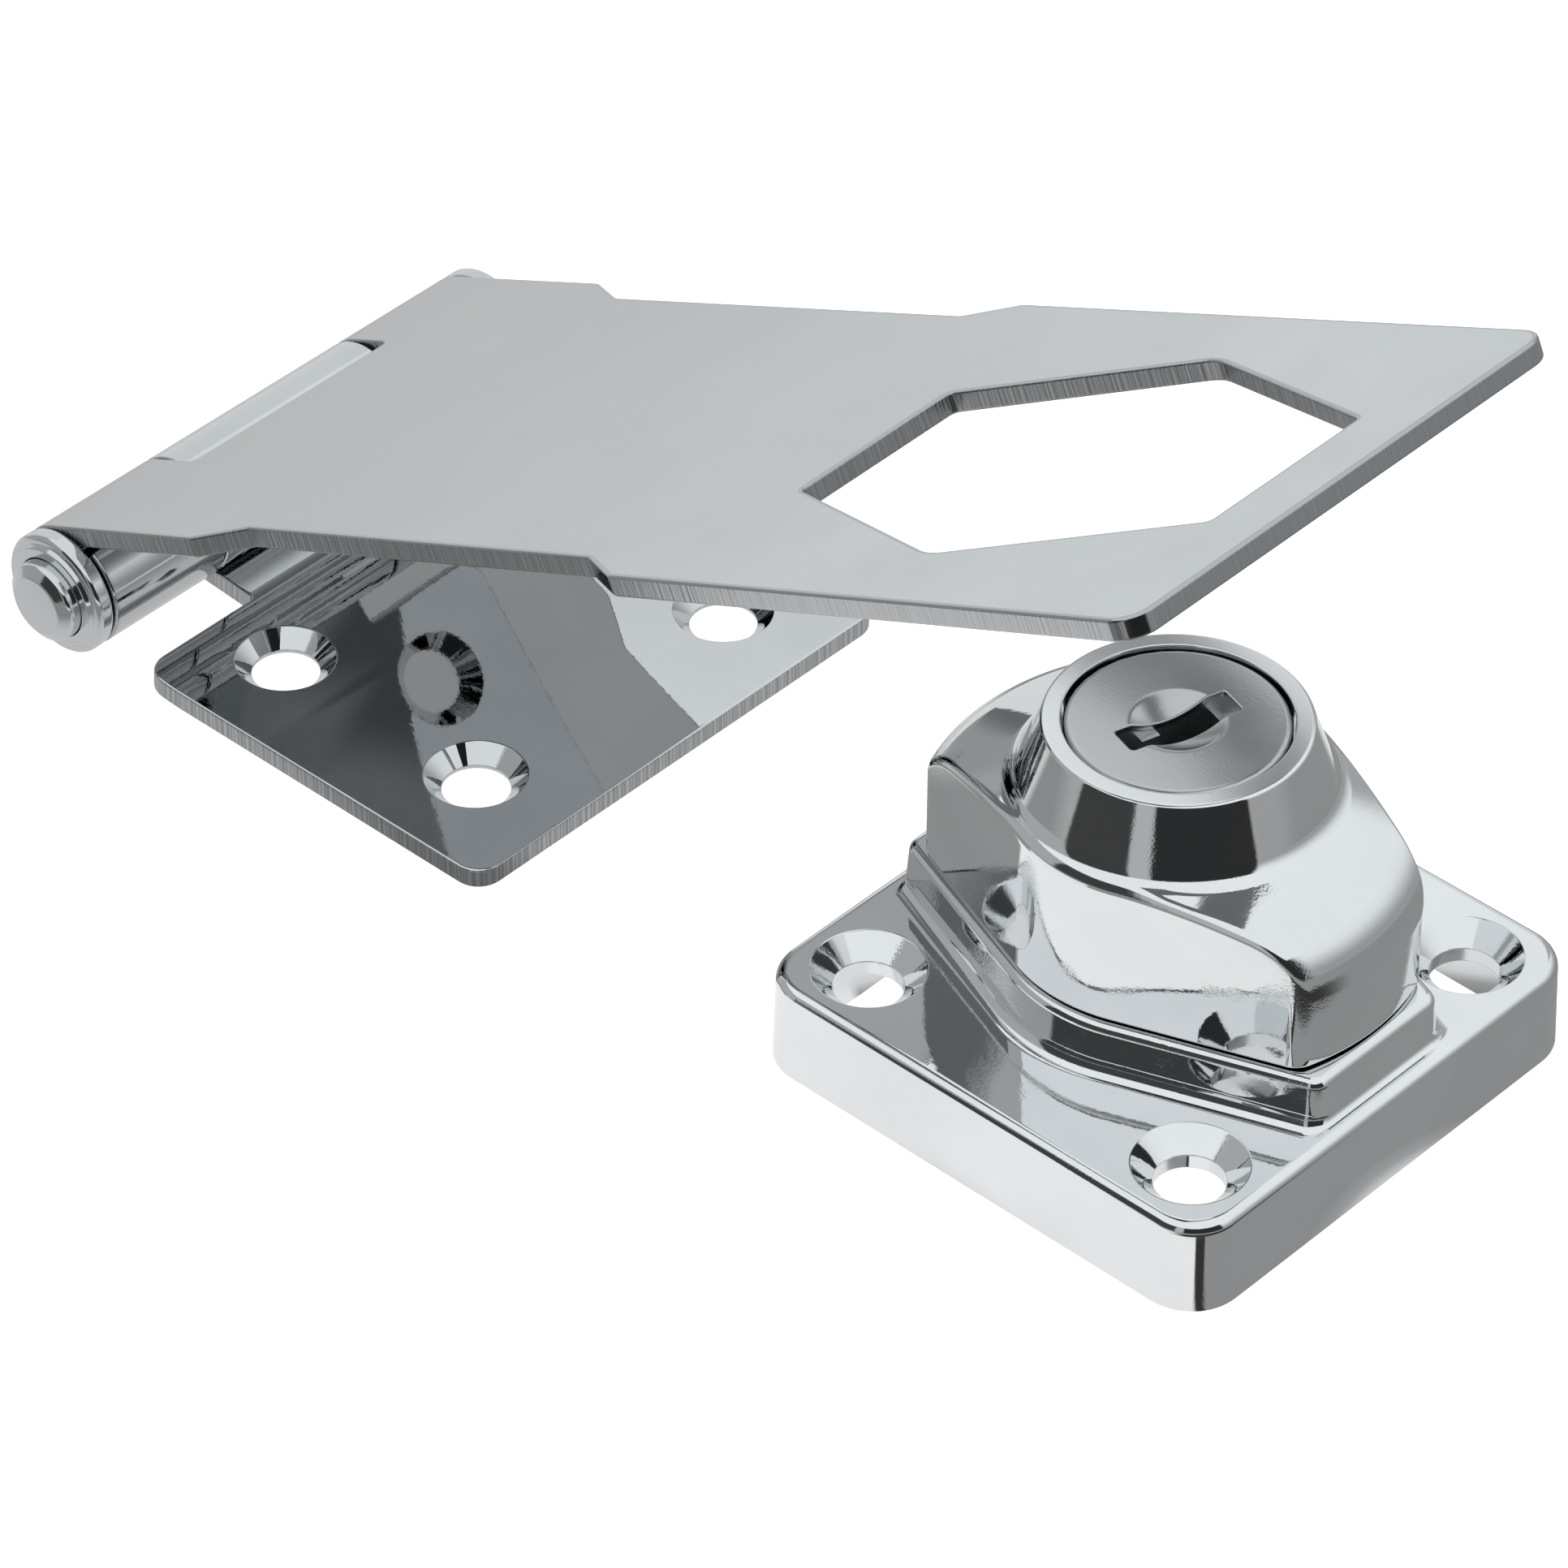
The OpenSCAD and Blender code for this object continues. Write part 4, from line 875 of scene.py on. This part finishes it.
# Pressed cap: between the key slot's outline and the round rim, every point lies on the
# straight line from slot to rim, at a height that dips into the ball-shaped dish
def makeFace():
    c = faceShape
    end, side = c["keyLen"] / 2, c["keyW"] / 2
    slot, slotNrm = roundedPath([(end, -side, c["keyR"]), (end, side, c["keyR"]),
                                 (-end, side, c["keyR"]), (-end, -side, c["keyR"])], steps=8, longest=0.25)
    a = math.radians(c["keyAngle"])
    spin = np.array([[math.cos(a), math.sin(a)], [-math.sin(a), math.cos(a)]])
    slot, slotNrm = slot @ spin, slotNrm @ spin
    rimAngle = np.arctan2(slot[:, 1], slot[:, 0])
    rimDir = np.stack([np.cos(rimAngle), np.sin(rimAngle)], 1)
    flatR = c["r"] - c["edge"]
    ballZ = c["z"] + c["dishR"] - c["dishDepth"]

    def height(xy):
        r2 = (xy ** 2).sum(-1)
        ball = ballZ - np.sqrt(np.maximum(c["dishR"] ** 2 - r2, 0))
        # The dish's rim is eased into the flat by a soft minimum
        soft = c["easing"]
        return -soft * np.log(np.exp(-np.clip((ball - c["z"]) / soft, -60, 60)) + 1) + c["z"]

    def slope(xy):
        e = 1e-3
        dx = (height(xy + [e, 0]) - height(xy - [e, 0])) / (2 * e)
        dy = (height(xy + [0, e]) - height(xy - [0, e])) / (2 * e)
        return unit(np.stack([-dx, -dy, np.ones_like(dx)], -1))

    start = slot + slotNrm * c["rim"]
    t = np.linspace(0, 1, 60)[None, :, None]
    xy = start[:, None] * (1 - t) + (rimDir * flatR)[:, None] * t
    top = np.dstack([xy, height(xy)])
    n = len(slot)
    patches = [gridPatch(top, slope(xy))]
    # Slot wall with a small round at the top
    q = np.linspace(0, math.pi / 2, 5)[None, :, None]
    wallXY = slot[:, None] + slotNrm[:, None] * c["rim"] * (1 - np.cos(q))
    baseZ = height(start)[:, None] - c["rim"]
    wallZ = baseZ + c["rim"] * np.sin(q[..., 0])
    lower = np.dstack([slot[:, None], baseZ[..., None] - c["thick"] + c["rim"]])
    points = np.concatenate([lower, np.dstack([wallXY, wallZ])], 1)
    lowerNrm = np.dstack([-slotNrm[:, None], np.zeros((n, 1))])
    wallNrm = np.dstack([-slotNrm[:, None] * np.cos(q), np.broadcast_to(np.sin(q), (n, 5, 1))])
    patches.append(gridPatch(points, unit(np.concatenate([lowerNrm, wallNrm], 1))))
    # Rounded rim and skirt, then back up inside to close the sheet
    rim = roundedPath([(c["r"] - c["thick"], c["z"] - c["skirt"], 0), (c["r"], c["z"] - c["skirt"], 0.1),
                       (c["r"], c["z"], c["edge"]), (flatR, c["z"], 0)], closed=False, steps=8)
    patches.append(carried((np.zeros((n, 2)), rimDir), rim))
    inR = c["r"] - c["thick"]
    wallIn = roundedPath([(inR, c["z"] - c["thick"], 0), (inR, c["z"] - c["skirt"], 0)], closed=False)
    patches.append(carried((np.zeros((n, 2)), rimDir), wallIn))
    under = slot[:, None] * (1 - t) + (rimDir * inR)[:, None] * t
    underZ = height(under) - c["thick"]
    underZ[:, 0] = points[:, 0, 2]                           # where the slot's wall ends
    patches.append(gridPatch(np.dstack([under, underZ]), -slope(under), flip=False))
    makePiece("face_sheet", patches, "plug", ["face_cap"], finishes["face"])


makeFace()

# Pieces inside keep their CAD meshes
for nodeName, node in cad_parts.items():
    inner = "zinc" if nodeName == "plug" else "steel"
    if nodeName.startswith("wafer_") and "spring" not in nodeName:
        inner = "nickel"
    if not node.hide_render:
        for slot in node.material_slots:
            slot.material = finishes[inner]


# Floor, light and camera

# 1 between two compass angles, with edges as soft as the given degrees
def between(azimuth, start, stop, soft=1.5):
    away = (azimuth - (start + stop) / 2 + 180) % 360 - 180
    return 1 - ramp(np.abs(away), (stop - start) / 2 - soft / 2, (stop - start) / 2 + soft / 2)


def blendTo(level, target, amount):
    return level * (1 - amount) + target * amount


# A stage object whose vertices carry the brightness that metal sees there
def stageGrid(name, grid, level, material):
    mesh = bpy.data.meshes.new(name)
    mesh.from_pydata(grid.reshape(-1, 3).tolist(), [], gridFaces(*grid.shape[:2], closeRows=True).tolist())
    shade = mesh.attributes.new("level", "FLOAT", "POINT")
    shade.data.foreach_set("value", level.reshape(-1).astype(np.float32))
    mesh.materials.append(material)
    stageObject = bpy.data.objects.new(name, mesh)
    bpy.context.collection.objects.link(stageObject)
    return stageObject


# Angles are compass angles from +X, anticlockwise, and heights above the horizon, in degrees.
# Radii are in metres, on the floor about the lock's axis.
studio = dict(tentR=0.5, tint=(0.955, 0.985, 1.0), overhead=0.97, overheadFrom=35, overheadTo=38.5,
              horizon=0.44, rightWall=0.38, rightAz=(5, 97), rightTop=0.94, rightUp=34,
              farWall=0.82, farAz=(112, 184),
              dark=0.03, darkAz=(-64, 4), stripAz=(-78, -66), strip=0.5, shadeAz=(-122, -79), shade=0.055,
              mid=0.31, front=0.96, frontAz=-150, back=0.8, backAz=(95, 172), nearR=0.05, farR=0.15,
              behind=0.68, behindAz=(148, 200), behindR=(0.038, 0.044),
              outAz=(-138, -98), outR=(0.082, 0.088), wedge=0.04, wedgeWide=(-60, 10), cornerAt=0.0266,
              edgeR=0.004, lineAt=0.1, lineHalf=0.08, wedgeR=0.0355, under=0.85, underR=0.0195,
              floorTone=0.9, floorGlow=0.86, floorLight=0.75)


# What the metal sees level with itself, by compass angle: grey walls, black behind the camera
def horizonLevel(azimuth):
    c = studio
    level = np.full(azimuth.shape, c["horizon"])
    level = blendTo(level, c["rightWall"], between(azimuth, *c["rightAz"], 6))
    level = blendTo(level, c["farWall"], between(azimuth, *c["farAz"], 14))
    level = blendTo(level, c["shade"], between(azimuth, *c["shadeAz"], 3))
    level = blendTo(level, c["strip"], between(azimuth, *c["stripAz"]))
    return blendTo(level, c["dark"], between(azimuth, *c["darkAz"]))


# What the chrome mirrors: the walls of horizonLevel under a white ceiling, with the right-hand
# wall brighter upwards. Only glossy rays see it.
def makeTent():
    c = studio
    azimuth = np.arange(-180, 180, 1.0)[:, None]
    elevation = np.linspace(-12, 90, 103)[None, :]
    level = horizonLevel(azimuth) + 0 * elevation
    bright = between(azimuth, *c["rightAz"], 6) * ramp(elevation, 0, c["rightUp"])
    level = blendTo(level, c["rightTop"], bright)
    level = blendTo(level, c["overhead"], ramp(elevation, c["overheadFrom"], c["overheadTo"]))
    a, e = np.radians(azimuth), np.radians(elevation)
    grid = c["tentR"] * np.dstack([np.cos(a) * np.cos(e), np.sin(a) * np.cos(e), np.sin(e) + 0 * a])
    material, tree = newMaterial("tent_glow", forStage=True)
    glow = addNode(tree, "Emission", {"Color": shaded(c["tint"]), "Strength": attribute(tree, "level")})
    tree.links.new(glow.outputs[0], tree.nodes["Material Output"].inputs["Surface"])
    tent = stageGrid("tent", grid, level, material)
    tent.visible_camera = tent.visible_diffuse = tent.visible_shadow = False
    tent.visible_transmission = tent.visible_volume_scatter = False


# White to the camera, where it keeps a faint shadow. To the metal it only glows with painted light
# and shade, bright before the lock and grey elsewhere, and shows no real shadow
def makeFloor():
    c = studio
    steps = ((-180, -56, 1.0), (-56, -32, 0.125), (-32, 180, 1.0))      # finest at the dark line
    azimuth = np.concatenate([np.arange(*part) for part in steps])[:, None]
    radius = np.concatenate([np.arange(0, 0.06, 0.001), np.geomspace(0.06, 5.0, 30)])[None, :]
    near = 1 - ramp(radius, c["nearR"], c["nearR"] + 0.008)
    # The base's front corner, of radius edgeR, shows a dark line of even width. Seen in that
    # round mirror the line is a strip that widens by twice its distance from the corner.
    past = np.clip(radius - c["cornerAt"], 0, None)
    spreadBy = np.degrees((c["edgeR"] + 2 * past) / np.maximum(radius, 0.01))
    line = -45 + spreadBy * c["lineAt"]
    half = spreadBy * c["lineHalf"]
    # Painted light and shade on the floor, which only the metal sees
    level = np.full((azimuth.size, radius.size), c["mid"])
    level = blendTo(level, c["front"], between(azimuth, c["frontAz"], line - half, 1.5) * near)
    level = blendTo(level, c["back"], between(azimuth, *c["backAz"], 12) * near)
    level = blendTo(level, c["behind"], between(azimuth, *c["behindAz"], 6) * ramp(radius, *c["behindR"]))
    out = between(azimuth, *c["outAz"], 2) * (1 - near) * (1 - ramp(radius, *c["outR"]))
    level = blendTo(level, c["front"], out)
    # Painted shade: a dark strip that the base's front corner mirrors as a dark line, and a dark wedge beyond
    # it
    outer = ramp(radius, c["wedgeR"] - 0.001, c["wedgeR"] + 0.001) * near
    level = blendTo(level, c["wedge"], between(azimuth, line - half, line + half, 0.8) * (1 - outer) * near)
    level = blendTo(level, c["wedge"], between(azimuth, *c["wedgeWide"], 16) * outer)
    # Painted light: the floor under the base glows bright to the metal, though it lies in shadow there
    level = blendTo(level, c["under"], 1 - ramp(radius, c["underR"], c["underR"] + 0.002))
    level = blendTo(level, horizonLevel(azimuth), ramp(radius, c["farR"] - 0.02, c["farR"] + 0.02))
    a = np.radians(azimuth)
    grid = np.dstack([radius * np.cos(a), radius * np.sin(a), 0 * a * radius])
    material, tree = newMaterial("pale_floor", forStage=True)
    path = addNode(tree, "LightPath", {}).outputs
    glossy = path["Is Glossy Ray"]
    pale = mathNode(tree, "MULTIPLY", path["Is Camera Ray"], c["floorGlow"])
    amount = mathNode(tree, "MULTIPLY_ADD", glossy, attribute(tree, "level"), pale)
    tone = mixed(tree, glossy, shaded([c["floorTone"]] * 3), shaded([0, 0, 0]))
    matte = addNode(tree, "BsdfDiffuse", {"Color": tone})
    glow = addNode(tree, "Emission", {"Strength": amount})
    both = addNode(tree, "AddShader", {0: matte.outputs[0], 1: glow.outputs[0]})
    tree.links.new(both.outputs[0], tree.nodes["Material Output"].inputs["Surface"])
    stageGrid("floor", grid, level, material)


# White wherever it is seen, in the metal too, and dimmer where it lights the floor
def makeWorld():
    world = bpy.data.worlds.new("studio")
    bpy.context.scene.world = world
    world.use_nodes = True
    tree = world.node_tree
    path = addNode(tree, "LightPath", {}).outputs
    seen = path["Is Camera Ray"]
    for other in ("Is Glossy Ray", "Is Transmission Ray"):
        seen = mathNode(tree, "MAXIMUM", seen, path[other])
    strength = addNode(tree, "MapRange", {"Value": seen, "To Min": studio["floorLight"], "To Max": 1.0})
    back = tree.nodes["Background"]
    back.inputs["Color"].default_value = (1, 1, 1, 1)
    tree.links.new(strength.outputs["Result"], back.inputs["Strength"])


# Lights the floor and the matt parts only, from a spot towards the lock
def softLamp(name, spot, size, watts):
    data = bpy.data.lights.new(name, "AREA")
    data.shape = "RECTANGLE"
    data.size, data.size_y = size
    data.energy = watts
    lamp = bpy.data.objects.new(name, data)
    lamp.location = spot
    lamp.rotation_euler = (-Vector(spot)).to_track_quat("-Z", "Y").to_euler()
    lamp.visible_glossy = False
    bpy.context.collection.objects.link(lamp)


# Angles in degrees, distances in millimetres, and the focal length in pixels of the photograph
view = dict(azimuth=42.65, elevation=39.64, roll=0.26, focus=10230.0, photo=1932, sensor=36.0,
            shift=(25.8, 17.64), distance=563.43)


def makeCamera():
    c = view
    az, el, roll = (math.radians(c[k]) for k in ("azimuth", "elevation", "roll"))
    ahead = np.array([-math.sin(az) * math.cos(el), math.cos(az) * math.cos(el), -math.sin(el)])
    right = np.array([math.cos(az), math.sin(az), 0.0])
    above = np.cross(right, ahead)
    right2 = math.cos(roll) * right + math.sin(roll) * above
    above2 = -math.sin(roll) * right + math.cos(roll) * above
    rows = np.array([right2, -above2, ahead])
    spot = -rows.T @ np.array([*c["shift"], c["distance"]]) * mm
    data = bpy.data.cameras.new("camera")
    data.sensor_width = c["sensor"]
    data.lens = c["focus"] / c["photo"] * c["sensor"]
    data.clip_start, data.clip_end = 0.01, 50.0
    camera = bpy.data.objects.new("camera", data)
    place = [[right2[i], above2[i], -ahead[i], spot[i]] for i in range(3)]
    camera.matrix_world = Matrix(place + [[0, 0, 0, 1]])
    bpy.context.collection.objects.link(camera)
    bpy.context.scene.camera = camera


print("studio")
makeTent()
makeFloor()
makeWorld()
softLamp("key", (-0.5, -1.1, 1.2), (0.9, 0.7), 6)
softLamp("fill", (1.2, -0.4, 1.1), (0.9, 0.9), 3)
makeCamera()
bpy.context.scene.view_settings.view_transform = "Standard"
